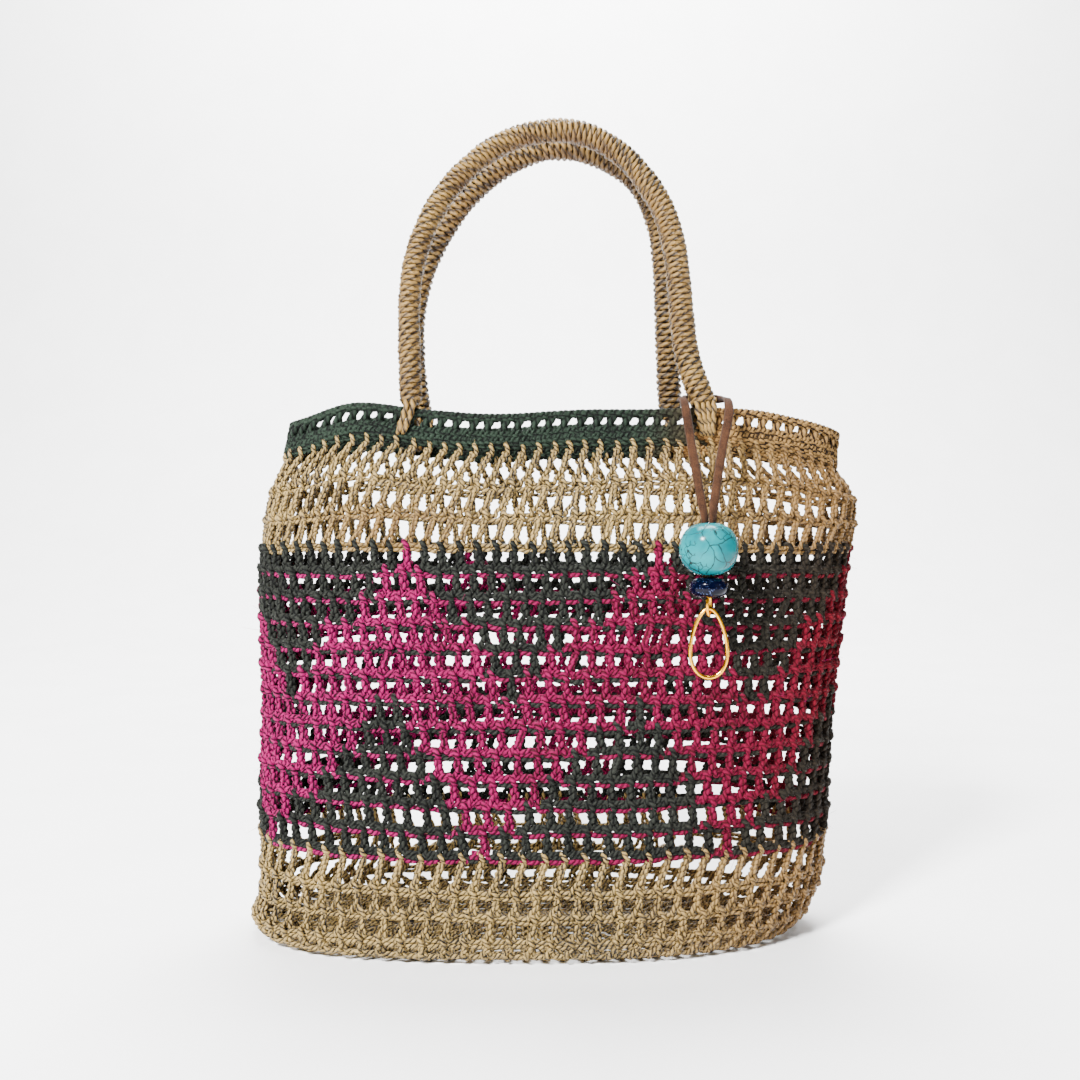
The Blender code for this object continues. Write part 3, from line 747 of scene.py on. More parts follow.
@dataclass
class KnottedNet:
    """The looped wall and base of the bag, worked round after round."""

    wall: BagWall
    rng: np.random.Generator
    columns: int = 84           # at the top; the rows below have fewer and wider stitches
    top_counts: tuple = (84, 84, 84)
    pattern_counts: tuple = (84, 84, 84, 84, 80, 80, 80, 76, 76, 76, 72, 72)
    foot_counts: tuple = (72, 72, 68, 68)
    rim_bar: float = 0.1925
    top_bars: tuple = (0.1784, 0.1659, 0.1538)
    pattern_rows: int = 12
    pattern_step: float = 0.009475
    foot_bars: tuple = (0.0268, 0.0180, 0.0088, 0.0022)
    base_rounds: tuple = (
        (-0.0045, 68), (-0.0105, 64), (-0.0165, 60), (-0.0225, 56), (-0.0285, 50), (-0.0345, 46),
    )
    lean: float = 0.15
    lean_centre: float = 0.100
    zigzag_width: int = 14
    zigzag_start: int = -3
    band_rows: int = 6
    yarn_radius: float = 0.00090
    pattern_radius: float = 0.00106
    sides: int = 5
    tall_shape: StitchShape = StitchShape(turns=2, steps=12, low=-0.0009, high=0.0004)
    short_shape: StitchShape = StitchShape(turns=1, steps=7, low=0.0008, high=-0.0008, twist=0.00092)
    foot_shape: StitchShape = StitchShape(turns=1, steps=7, low=0.0002, high=-0.0003, twist=0.00082)
    bars: list = field(init=False)
    kinds: list = field(init=False)
    counts: list = field(init=False)
    heights: np.ndarray = field(init=False)
    depths: np.ndarray = field(init=False)
    meshes: dict = field(init=False)

    def __post_init__(self) -> None:
        """Lists the rounds and how unevenly each one lies."""
        pattern = [self.top_bars[-1] - self.pattern_step * (k + 1) for k in range(self.pattern_rows)]
        self.bars = [self.rim_bar, *self.top_bars, *pattern, *self.foot_bars]
        self.kinds = ([RowKind.NATURAL] * len(self.top_bars) + [RowKind.PATTERN] * self.pattern_rows
                      + [RowKind.NATURAL] * len(self.foot_bars))
        self.counts = [*self.top_counts, *self.pattern_counts, *self.foot_counts]
        place = 2 * math.pi * np.arange(self.columns) / self.columns
        waves = []
        for _ in self.bars:
            start = self.rng.uniform(0, 2 * math.pi, 3)
            waves.append(0.00035 * np.sin(3 * place + start[0]) + 0.00025 * np.sin(8 * place + start[1])
                         + 0.0002 * np.sin(15 * place + start[2]))
        loose = self.rng.normal(0, 0.00022, (len(self.bars), self.columns))
        self.heights = np.array(self.bars)[:, None] + np.array(waves) + loose
        self.heights[0] = self.rim_bar
        self.depths = self.rng.normal(0, 0.00022, (len(self.bars), self.columns))
        self.meshes = {}

    def mesh_for(self, yarn: Yarn, side: str) -> StrandMesh:
        """The mesh that a yarn's strands on one side of the bag go in."""
        return self.meshes.setdefault((yarn, side), StrandMesh())

    def yarn_of(self, row: int, column: int) -> Yarn:
        """Which yarn makes the stitch in a row and column."""
        if self.kinds[row] is RowKind.NATURAL:
            return Yarn.NATURAL
        down = row - len(self.top_bars)
        half = self.zigzag_width / 2
        place = (column % self.counts[row] + 0.5) * self.columns / self.counts[row] - 0.5
        step = (place - self.zigzag_start) % self.zigzag_width
        from_valley = min(step, self.zigzag_width - step)
        upper = self.band_rows * (1 - from_valley / half)
        inside = upper <= down + 0.5 < upper + self.band_rows
        return Yarn.MAGENTA if inside else Yarn.DARK

    def sample(self, table: np.ndarray, bar: int, row: int, column: int) -> float:
        """A bar's value in a table, at the place of a row's column."""
        place = (column + 0.5) * self.columns / self.counts[row] - 0.5
        low = math.floor(place)
        here, there = table[bar, low % self.columns], table[bar, (low + 1) % self.columns]
        return float(here + (there - here) * (place - low))

    def radius_of(self, yarn: Yarn) -> float:
        """The thickness of a yarn, from its middle."""
        return self.yarn_radius if yarn is Yarn.NATURAL else self.pattern_radius

    def stitch(self, row: int, column: int, pitch: float) -> np.ndarray:
        """A stitch's rows of sideways, level and outward, with its own small faults."""
        here = self.sample(self.heights, row + 1, row, column)
        tall = self.sample(self.heights, row, row, column) - here
        if tall > 0.0105:
            shape = self.tall_shape
        else:
            shape = self.short_shape if self.kinds[row] is RowKind.PATTERN else self.foot_shape
        path = shape.path(tall, pitch / 2)
        shift = self.rng.normal(0, 0.00028)
        wide = self.rng.normal(1.0, 0.09)
        path[1:, 0] = path[1:, 0] * wide + shift
        path[:, 1] += here
        path[0, 1] = (here + self.sample(self.heights, row + 1, row, column - 1)) / 2
        path[:, 2] += self.sample(self.depths, row + 1, row, column)
        path[1:] += self.rng.normal(0, 0.00006, path[1:].shape)
        return path

    def carried(self, row: int, column: int, pitch: float) -> np.ndarray:
        """The way of a yarn that only runs along under a row's bar."""
        share = np.linspace(-0.5, 0.5, 5, endpoint=False)
        here = self.sample(self.heights, row + 1, row, column)
        before = self.sample(self.heights, row + 1, row, column - 1)
        level = np.interp(share, [-0.5, 0.0, 0.5], [(here + before) / 2, here, here])
        under = -0.00150 + 0.0002 * np.cos(2 * math.pi * share) + self.rng.normal(0, 0.00012, 5)
        inward = -0.0002 - 0.0003 * np.cos(2 * math.pi * share) + self.rng.normal(0, 0.00012, 5)
        return np.stack([share * pitch, level + under, inward], axis=1)

    def lay(self, path: np.ndarray, column: float, columns: int) -> np.ndarray:
        """Turns rows of sideways, level and outward into places on the bag."""
        around = self.wall.way_round(path[:, 1])
        slant = np.where(path[:, 1] > 0, self.lean * (path[:, 1] - self.lean_centre),
                         -self.lean * self.lean_centre)
        share = (column + 0.5) / columns + (slant + path[:, 0]) / around
        return self.wall.place(path[:, 1], share, path[:, 2])

    def tinge_at(self, yarn: Yarn, line: np.ndarray) -> np.ndarray:
        """How far the yarn's colour leans to its tinge at the places of a line. On the natural and magenta yarns
        the lean towards the right is painted shade, darker away from the key light.
        """
        x, z = line[:, 0], line[:, 2]
        if yarn is Yarn.NATURAL:
            # painted shade: the natural yarn goes darker and more golden towards the right
            golden_shade = np.clip((x - 0.020) / 0.075, 0, 1) * 0.9
            brown = 0.75 * np.exp(-(((x + 0.062) / 0.030) ** 2) - ((z - 0.160) / 0.012) ** 2)
            return np.maximum(golden_shade, np.where(line[:, 1] < 0, brown, 0))
        if yarn is Yarn.MAGENTA:
            # painted shade: the magenta goes darker and redder towards the right
            return np.clip((x + 0.085) / 0.19, 0, 1)
        return np.clip((x - 0.035) / 0.07, 0, 1)

    def run_yarn(self, row: int, yarn: Yarn, doubled: bool = False) -> None:
        """Works one yarn once round the bag in one row.

        Args:
            row: Which row.
            yarn: Which yarn.
            doubled: Whether it only runs along, beside the same yarn's stitches.
        """
        columns = self.counts[row]
        pitch = float(self.wall.way_round(np.array([self.bars[row + 1]]))[0]) / columns
        quarter = columns // 4
        for side, first in (("front", -quarter), ("back", quarter)):
            lines, tones = [], []
            for column in range(first, first + 2 * quarter + 1):
                worked = self.yarn_of(row, column) is yarn and not doubled
                path = self.stitch(row, column, pitch) if worked else self.carried(row, column, pitch)
                path = path[:1] if column == first + 2 * quarter else path
                lines.append(self.lay(path, column, columns))
                tones.append(np.full(len(path), self.rng.uniform(0.12, 0.42)))
            line, tone = np.vstack(lines), np.concatenate(tones)
            mesh = self.mesh_for(yarn, side)
            radius = self.radius_of(yarn) * self.rng.normal(1.0, 0.05, len(line))
            mesh.add(line, radius, self.sides, tone, self.tinge_at(yarn, line))
            self.fuzz(mesh, line, yarn)

    def second_strands(self, row: int, yarn: Yarn) -> None:
        """Lays the second strand of a row's bar wherever a yarn makes its stitches."""
        columns = self.counts[row]
        pitch = float(self.wall.way_round(np.array([self.bars[row + 1]]))[0]) / columns
        share = np.linspace(-0.5, 0.5, 4, endpoint=False)
        quarter = columns // 4
        for side, first in (("front", -quarter), ("back", quarter)):
            run = []
            for column in range(first, first + 2 * quarter + 1):
                inside = column < first + 2 * quarter and self.yarn_of(row, column) is yarn
                if inside:
                    bar = self.sample(self.heights, row + 1, row, column)
                    level = bar + 0.00125 - 0.0003 * np.cos(2 * math.pi * share)
                    depth = 0.0001 + 0.0005 * np.sin(2 * math.pi * share) + self.rng.normal(0, 0.0001, 4)
                    path = np.stack([share * pitch, level + self.rng.normal(0, 0.0001, 4), depth], axis=1)
                    run.append(self.lay(path, column, columns))
                elif run:
                    line = np.vstack(run)
                    self.mesh_for(yarn, side).add(line, self.radius_of(yarn) * 0.95, self.sides,
                                                  self.rng.uniform(0.15, 0.5), self.tinge_at(yarn, line))
                    run = []

    def fuzz(self, mesh: StrandMesh, line: np.ndarray, yarn: Yarn) -> None:
        """Lets a few loose fibres stand off a strand."""
        share = {Yarn.DARK: 0.050, Yarn.MAGENTA: 0.020, Yarn.NATURAL: 0.008}[yarn]
        picked = self.rng.choice(len(line), int(len(line) * share), replace=False)
        roots = line[picked]
        away = unit(roots * np.array([0.4, 1.0, 0.0]))
        mesh.add_hairs(roots, away, self.rng, 0.0042, 0.1)

    def work_base(self) -> StrandMesh:
        """Works the base in rounds that close on a lacing along its middle."""
        mesh = StrandMesh()
        above = self.bars[-1]
        for level, columns in self.base_rounds:
            pitch = float(self.wall.way_round(np.array([level]))[0]) / columns
            squeeze = min(pitch / 0.0062, 1.0)
            lines = []
            for column in range(columns):
                path = self.foot_shape.path(above - level, pitch / 2)
                path[1:, 0] = path[1:, 0] * squeeze + self.rng.normal(0, 0.0003)
                path[:, 2] *= 0.55
                path[:, 1] += level
                lines.append(self.lay(path, column, columns))
            line = np.vstack(lines + [lines[0][:1]])
            mesh.add(line, self.yarn_radius, 4, 0.35, self.tinge_at(Yarn.NATURAL, line))
            above = level
        turns, count = 26, 208
        t = np.linspace(0, 1, count)
        for k in range(3):
            angle = 2 * math.pi * (turns * t + k / 3)
            reach = 0.0042
            x = self.wall.spine_left - 0.004 + (self.wall.spine_right - self.wall.spine_left + 0.008) * t
            line = np.stack([x, reach * np.sin(angle), 0.0016 + 0.0006 * np.sin(2 * angle)], axis=1)
            mesh.add(line, 0.0011, 6, 0.4)
        return mesh

    def build(self, materials: dict) -> None:
        """Works the whole net and gives it its yarns."""
        for row, kind in enumerate(self.kinds):
            if kind is RowKind.NATURAL:
                self.run_yarn(row, Yarn.NATURAL)
                self.run_yarn(row, Yarn.NATURAL, doubled=True)
            else:
                for yarn in (Yarn.DARK, Yarn.MAGENTA):
                    self.run_yarn(row, yarn)
                    self.second_strands(row, yarn)
        for (yarn, side), mesh in self.meshes.items():
            name = f"net_{yarn.name.lower()}_{side}"
            settle(mesh.make(name), materials[yarn], yarn.value, "bag_body")
        base = self.work_base().make("net_base")
        settle(base, materials[Yarn.NATURAL], Yarn.NATURAL.value, "bag_body")


@dataclass
class PlaitedRim:
    """The worked edge: a plait on top, slanting stitches with gaps, and a close row."""

    wall: BagWall
    rng: np.random.Generator
    straw_from: float = 0.053
    blend: float = 0.004
    top_level: float = 0.2042
    gap_top: float = 0.2027
    gap_low: float = 0.1990
    close_level: float = 0.1975
    low_level: float = 0.1950
    foot_level: float = 0.1929
    eyelets: int = 84

    def _lay(self, level: np.ndarray, share: np.ndarray, out: np.ndarray, radius: float,
             sides: int) -> None:
        """Lays a strand round the mouth, green on the left and straw on the right."""
        line = self.wall.place(level, share, out)
        edge = self.straw_from + self.rng.uniform(-self.blend, self.blend)
        straw = line[:, 0] > edge
        cuts = np.flatnonzero(np.diff(straw.astype(int))) + 1
        for part in np.split(np.arange(len(line)), cuts):
            if len(part) < 3:
                continue
            piece = line[part[0]: part[-1] + 2]
            yarn = Yarn.STRAW if straw[part[0]] else Yarn.GREEN
            tone = np.interp(np.arange(len(piece)), np.arange(0, len(piece) + 8, 8),
                             self.rng.uniform(0.1, 0.5, len(np.arange(0, len(piece) + 8, 8))))
            near = np.exp(-((piece[:, 0] - self.straw_from) / 0.012) ** 2) * 0.9
            self.meshes[yarn].add(piece, radius, sides, tone, near)

    def _plait(self, level: float, out: float, waves: int, reach: float, depth: float,
               radius: float, steps: int, sides: int) -> None:
        """Lays three strands plaited over each other round the mouth."""
        share = np.linspace(0, 1, waves * steps + 1)
        for k in range(3):
            angle = 2 * math.pi * (waves * share + k / 3)
            wobble = 0.0002 * np.sin(2 * math.pi * (11 * share + k))
            self._lay(level + reach * np.sin(angle) + wobble, share, out + depth * np.sin(2 * angle),
                      radius, sides)

    def _eyelet_stitches(self) -> None:
        """Lays the short slanting pairs of strands between the plait and the close row."""
        for k in range(self.eyelets):
            middle = (k + 0.5 + self.rng.normal(0, 0.05)) / self.eyelets
            around = float(self.wall.way_round(np.array([self.gap_low]))[0])
            t = np.linspace(0, 1, 6)
            for offset, turn in ((-0.0009, 1.0), (0.0009, -1.0)):
                level = self.gap_low - 0.0006 + (self.gap_top - self.gap_low + 0.0012) * t
                sideways = offset * np.cos(math.pi * t) + 0.0013 * (t - 0.5)
                out = 0.0004 + turn * 0.0007 * np.sin(math.pi * t)
                self._lay(level, middle + sideways / around, out, 0.00132, 6)

    def build(self, materials: dict) -> None:
        """Works the edge in its two yarns."""
        self.meshes = {Yarn.GREEN: StrandMesh(), Yarn.STRAW: StrandMesh()}
        self._plait(self.top_level, 0.0006, 76, 0.00080, 0.0008, 0.00106, 12, 6)
        self._eyelet_stitches()
        self._plait(self.close_level, 0.0006, 84, 0.0010, 0.0008, 0.00100, 12, 5)
        self._plait(self.low_level, 0.0006, 76, 0.0011, 0.0008, 0.00105, 12, 5)
        share = np.linspace(0, 1, 84 * 8 + 1)
        for k in range(2):
            angle = 2 * math.pi * (84 * share + k / 2)
            self._lay(self.foot_level + 0.0007 * np.cos(angle), share, 0.0001 + 0.0007 * np.sin(angle),
                      0.0009, 5)
        settle(self.meshes[Yarn.GREEN].make("rim_green"), materials[Yarn.GREEN],
               Yarn.GREEN.value, "rim_band_green")
        settle(self.meshes[Yarn.STRAW].make("rim_straw"), materials[Yarn.STRAW],
               Yarn.STRAW.value, "rim_band_straw")


@dataclass
class WrappedHandle:
    """A stiff hoop wound tight with a cord of two plies."""

    wall: BagWall
    rng: np.random.Generator
    name: str
    hoop: tuple
    feet: tuple
    radii: tuple
    back: bool
    wrap_pitch: float = 0.0022
    rim_top: float = 0.2055
    stand: float = 0.0014
    apex_deep: float = 0.0085
    cord_waist: float = 0.19
    ply_turn: float = 0.0078
    steps: int = 36
    sides: int = 8

    def seat(self, across: float) -> np.ndarray:
        """The end of the hoop's middle line over the rim."""
        share = self.wall.share_at(self.rim_top, across, self.back)
        level = np.array([self.rim_top])
        point = self.wall.place(level, np.array([share]), np.array([0.0004]))[0]
        return point + np.array([0, 0, self.stand])

    def middle_line(self, count: int) -> np.ndarray:
        """Points along the hoop's middle."""
        ends = [self.seat(x) for x in self.feet]
        apex_y = self.apex_deep if self.back else -self.apex_deep
        top = max(z for _, z in self.hoop)
        route = [ends[0]]
        for x, z in self.hoop:
            t = (z - ends[0][2]) / (top - ends[0][2])
            route.append(np.array([x, ends[0][1] + (apex_y - ends[0][1]) * t, z]))
        route.append(ends[1])
        return smooth_route(route, count)

    def build(self, materials: dict) -> None:
        """Winds the cord over the hoop."""
        spine = self.middle_line(500)
        length = line_length(spine)
        cord = self.wrap_pitch * 0.49
        turns = length / self.wrap_pitch - 0.8
        count = int(turns * self.steps)
        t = np.linspace(0, 1, count)
        along = (0.4 * self.wrap_pitch + t * (length - 0.8 * self.wrap_pitch)) / length
        at = np.linspace(0, 1, len(spine))
        centre = np.stack([np.interp(along, at, spine[:, k]) for k in range(3)], axis=1)
        forward = unit(np.gradient(centre, axis=0))
        across = np.array([0.0, 1.0, 0.0])
        across = unit(across - forward * (forward @ across)[:, None])
        upward = np.cross(forward, across)
        outer = np.interp(along, (0.0, 0.5, 1.0), self.radii)
        angle = 2 * math.pi * turns * t
        reach = outer - cord + self.uneven(turns * t, 2.3, 0.00010)
        slant = (self.uneven(turns * t, 7.0, 0.07) + 0.10) * outer * np.sin(angle)
        line = (centre + reach[:, None] * (np.cos(angle)[:, None] * across + np.sin(angle)[:, None] * upward)
                + forward * slant[:, None])
        radii = lobed(count, self.sides, cord, self.cord_waist, self.ply_turn,
                      2 * math.pi * float(outer.mean()) * turns)
        mesh = StrandMesh()
        # painted shade: the back handle's wraps get a deeper tone than the front handle's
        tone = (0.40 if self.back else 0.25) + self.uneven(turns * t, 1.0, 0.10)
        # painted shade: the wraps lean to the darker tinge on their undersides and backs, and stay lighter on top
        # and in front
        lit = upward[:, 2] * np.sin(angle) - 0.4 * across[:, 1] * np.cos(angle)
        tinge = np.clip(0.42 - 0.5 * lit + self.uneven(turns * t, 3.1, 0.12), 0, 0.9)
        mesh.add(line, radii, self.sides, tone, tinge, first=unit(line - centre))
        # painted shade: the hoop inside the wraps is coloured fully deep, so the gaps between the wraps read as
        # shadow
        mesh.add(spine[::4], np.interp(at[::4], (0.0, 0.5, 1.0), self.radii) - 1.6 * cord, 12, 1.3, 0.0)
        settle(mesh.make(f"{self.name}_wrap"), materials[Yarn.HANDLE], Yarn.HANDLE.value, self.name)

    def uneven(self, place: np.ndarray, spacing: float, spread: float) -> np.ndarray:
        """Slow chance changes along a run of places, about zero."""
        knots = np.arange(place.min(), place.max() + 2 * spacing, spacing)
        return np.interp(place, knots, self.rng.normal(0, spread, len(knots)))


@dataclass
class Lashing:
    """Cord turns side by side over the rim, under a handle's foot."""

    wall: BagWall
    rng: np.random.Generator
    name: str
    across: float
    back: bool
    strands: int
    lean: float = 0.0           # how far the hanging ends stand to the side
    gather: float = 1.0         # how close the hanging ends come together
    hang: float = 0.0112
    rim_top: float = 0.2055
    pitch: float = 0.0025
    radius: float = 0.00118
    over: float = 0.0031        # from the rim's middle to a strand, outside and inside
    top: float = 0.0036         # from the rim's top to a strand over it

    def build(self, materials: dict) -> None:
        """Lays the turns."""
        share = self.wall.share_at(self.rim_top, self.across, self.back)
        level = np.array([self.rim_top, self.rim_top])
        near, far = self.wall.place(level, np.array([share, share]), np.array([0.0004, 0.0104]))
        out = unit((far - near) * np.array([1, 1, 0]))
        along = np.array([-out[1], out[0], 0.0])
        o, top = self.over, self.top
        profile = (
            (o - 0.0022, -self.hang), (o - 0.0004, -self.hang + 0.0006), (o + 0.0002, -self.hang + 0.0022),
            (o, -self.hang / 2), (o, -0.0014), (o - 0.0004, 0.0016), (0.0016, top), (-0.0016, top),
            (-o + 0.0004, 0.0014), (-o, -0.0014), (-o, -self.hang / 2), (-o - 0.0002, -self.hang + 0.0022),
            (-o + 0.0006, -self.hang + 0.0006), (-o + 0.0022, -self.hang),
        )
        mesh = StrandMesh()
        for k in range(self.strands):
            place = (k - (self.strands - 1) / 2) * self.pitch
            route = []
            for n, h in profile:
                down = np.clip(-h / self.hang, 0, 1)
                side = place * (1 + (self.gather - 1) * down) + self.lean * down * (1 if n > 0 else 0)
                route.append(near + out * n + along * side + np.array([0, 0, h]))
            line = smooth_route(route, 46)
            radii = lobed(46, 8, self.radius, 0.2, 0.0085, line_length(line), self.rng.uniform(0, 1))
            mesh.add(line, radii, 8, self.rng.uniform(0.05, 0.3), 0.1)
        settle(mesh.make(f"{self.name}_cord"), materials[Yarn.HANDLE], Yarn.HANDLE.value, self.name)


@dataclass(frozen=True)
class SuedeFinish:
    """Brown suede with a short nap."""

    light: tuple = (0.058, 0.023, 0.0095)
    deep: tuple = (0.012, 0.0045, 0.002)

    def material(self) -> bpy.types.Material:
        """Builds the suede's material."""
        made, board, shader = new_material("suede_lace")
        nap = board.noise(2600.0, 4.0)
        patch = board.span(board.noise(240.0, 3.0), 0.3, 0.7, 0.0, 0.45)
        shade = board.math("ADD", board.span(nap, 0.3, 0.7, 0.0, 0.6), patch)
        colour = board.mix(shade, (*self.light, 1.0), (*self.deep, 1.0))
        board.feed(shader.inputs["Base Color"], colour)
        bump = board.node("ShaderNodeBump", {"Height": nap, "Strength": 0.6, "Distance": 0.00018})
        board.feed(shader.inputs["Normal"], bump.outputs["Normal"])
        shader.inputs["Roughness"].default_value = 0.92
        shader.inputs["Specular IOR Level"].default_value = 0.15
        shader.inputs["Sheen Weight"].default_value = 0.06
        shader.inputs["Sheen Roughness"].default_value = 0.4
        return made


@dataclass(frozen=True)
class TurquoiseFinish:
    """Polished turquoise with thin dark veins and a few ringed patches."""

    stone: tuple = (0.0002, 0.085, 0.100)
    pale: tuple = (0.0004, 0.190, 0.205)
    vein: tuple = (0.012, 0.022, 0.022)

    def material(self) -> bpy.types.Material:
        """Builds the stone's material."""
        made, board, shader = new_material("turquoise_stone")
        place = board.node("ShaderNodeTexCoord").outputs["Object"]
        bend = board.node("ShaderNodeTexNoise", {"Vector": place, "Scale": 170.0, "Detail": 2.0})
        bent = board.node("ShaderNodeMix", data_type="VECTOR", factor_mode="UNIFORM")
        bent.inputs[0].default_value = 0.0035
        board.feed(bent.inputs[4], place)
        board.feed(bent.inputs[5], bend.outputs["Color"])
        cells = board.node("ShaderNodeTexVoronoi", {"Vector": bent.outputs[1], "Scale": 130.0},
                           feature="DISTANCE_TO_EDGE")
        lines = board.span(cells.outputs["Distance"], 0.010, 0.030, 1.0, 0.0)
        some = board.span(board.noise(150.0, 1.0), 0.30, 0.42, 0.0, 1.0)
        veins = board.math("MULTIPLY", lines, some)
        small = board.node("ShaderNodeTexVoronoi", {"Vector": bent.outputs[1], "Scale": 420.0},
                           feature="DISTANCE_TO_EDGE")
        rings = board.span(small.outputs["Distance"], 0.02, 0.07, 1.0, 0.0)
        few = board.span(board.noise(115.0, 1.0), 0.62, 0.66, 0.0, 1.0)
        marks = board.math("MAXIMUM", veins, board.math("MULTIPLY", rings, few))
        cloud = board.span(board.noise(90.0, 3.0), 0.35, 0.7, 0.0, 1.0)
        stone = board.mix(cloud, (*self.stone, 1.0), (*self.pale, 1.0))
        board.feed(shader.inputs["Base Color"], board.mix(marks, stone, (*self.vein, 1.0)))
        wear = board.node("ShaderNodeGroup", node_tree=EFFECTS.handling)
        wear.inputs["Amount"].default_value = 0.08
        wear.inputs["Roughness"].default_value = 0.16
        board.feed(shader.inputs["Roughness"], wear.outputs["Roughness"])
        bump = board.node("ShaderNodeBump", {"Height": marks, "Strength": 0.35, "Distance": 0.00012},
                          invert=True)
        board.feed(shader.inputs["Normal"], bump.outputs["Normal"])
        shader.inputs["Specular IOR Level"].default_value = 0.12
        return made


@dataclass(frozen=True)
class NavyFinish:
    """Polished dark blue glass with fine glitter in it."""

    glass: tuple = (0.0004, 0.0009, 0.006)
    spark: tuple = (0.10, 0.14, 0.30)

    def material(self) -> bpy.types.Material:
        """Builds the glass's material."""
        made, board, shader = new_material("navy_glass")
        place = board.node("ShaderNodeTexCoord").outputs["Object"]
        flakes = board.node("ShaderNodeTexVoronoi", {"Vector": place, "Scale": 2300.0})
        pick = board.node("ShaderNodeSeparateXYZ", {"Vector": flakes.outputs["Color"]})
        bright = board.span(pick.outputs["X"], 0.80, 0.90, 0.0, 1.0)
        small = board.span(flakes.outputs["Distance"], 0.30, 0.42, 1.0, 0.0)
        glitter = board.math("MULTIPLY", bright, small)
        board.feed(shader.inputs["Base Color"], board.mix(glitter, (*self.glass, 1.0), (*self.spark, 1.0)))
        board.feed(shader.inputs["Metallic"], board.math("MULTIPLY", glitter, 0.8))
        wear = board.node("ShaderNodeGroup", node_tree=EFFECTS.handling)
        wear.inputs["Amount"].default_value = 0.06
        wear.inputs["Roughness"].default_value = 0.12
        board.feed(shader.inputs["Roughness"], wear.outputs["Roughness"])
        bump = board.node("ShaderNodeBump", {"Height": pick.outputs["Y"], "Strength": 0.15,
                                             "Distance": 0.00006})
        board.feed(shader.inputs["Normal"], bump.outputs["Normal"])
        shader.inputs["Specular IOR Level"].default_value = 0.12
        return made


@dataclass(frozen=True)
class GoldFinish:
    """Bright yellow gold plating."""

    gold: tuple = (0.88, 0.42, 0.015)
    worn: tuple = (0.52, 0.22, 0.010)

    def material(self) -> bpy.types.Material:
        """Builds the metal's material."""
        made, board, shader = new_material("gold_metal")
        wear = board.node("ShaderNodeGroup", node_tree=EFFECTS.handling)
        wear.inputs["Size"].default_value = 420.0
        wear.inputs["Amount"].default_value = 0.16
        wear.inputs["Roughness"].default_value = 0.16
        colour = board.mix(board.math("MULTIPLY", wear.outputs["Mask"], 0.5),
                           (*self.gold, 1.0), (*self.worn, 1.0))
        board.feed(shader.inputs["Base Color"], colour)
        board.feed(shader.inputs["Roughness"], wear.outputs["Roughness"])
        bump = board.node("ShaderNodeBump", {"Height": wear.outputs["Mask"], "Strength": 0.2,
                                             "Distance": 0.00008})
        board.feed(shader.inputs["Normal"], bump.outputs["Normal"])
        shader.inputs["Metallic"].default_value = 1.0
        return made


LACE_ROUTE = (
    (0.05215, -0.0580, 0.1376), (0.05215, -0.0580, 0.1500), (0.05215, -0.0579, 0.1622),
    (0.05120, -0.0552, 0.1705), (0.04930, -0.0475, 0.1880), (0.04800, -0.0412, 0.2020),
    (0.04770, -0.0380, 0.2068), (0.04760, -0.0335, 0.2092), (0.04780, -0.0275, 0.2102),
    (0.05000, -0.0218, 0.2108), (0.05600, -0.0198, 0.2112), (0.06200, -0.0218, 0.2108),
    (0.06430, -0.0275, 0.2100), (0.06430, -0.0335, 0.2090), (0.06410, -0.0378, 0.2066),
    (0.06350, -0.0410, 0.2018), (0.05990, -0.0475, 0.1880), (0.05600, -0.0552, 0.1705),
    (0.05485, -0.0579, 0.1622), (0.05485, -0.0580, 0.1500), (0.05485, -0.0580, 0.1376),
)
ACROSS, DEEPWISE, UPWARD = (1.0, 0.0, 0.0), (0.0, 1.0, 0.0), (0.0, 0.0, 1.0)
LACE_WIDTHS = (
    DEEPWISE, DEEPWISE, (0.6, 0.8, 0.0), ACROSS, ACROSS, ACROSS, ACROSS, ACROSS, (0.9, 0.0, 0.45),
    (0.3, 0.0, 0.95), UPWARD, (-0.3, 0.0, 0.95), (-0.9, 0.0, 0.45), (-1.0, 0.0, 0.0), (-1.0, 0.0, 0.0),
    (-1.0, 0.0, 0.0), (-1.0, 0.0, 0.0), (-1.0, 0.0, 0.0), (-0.6, -0.8, 0.0), (0.0, -1.0, 0.0),
    (0.0, -1.0, 0.0),
)


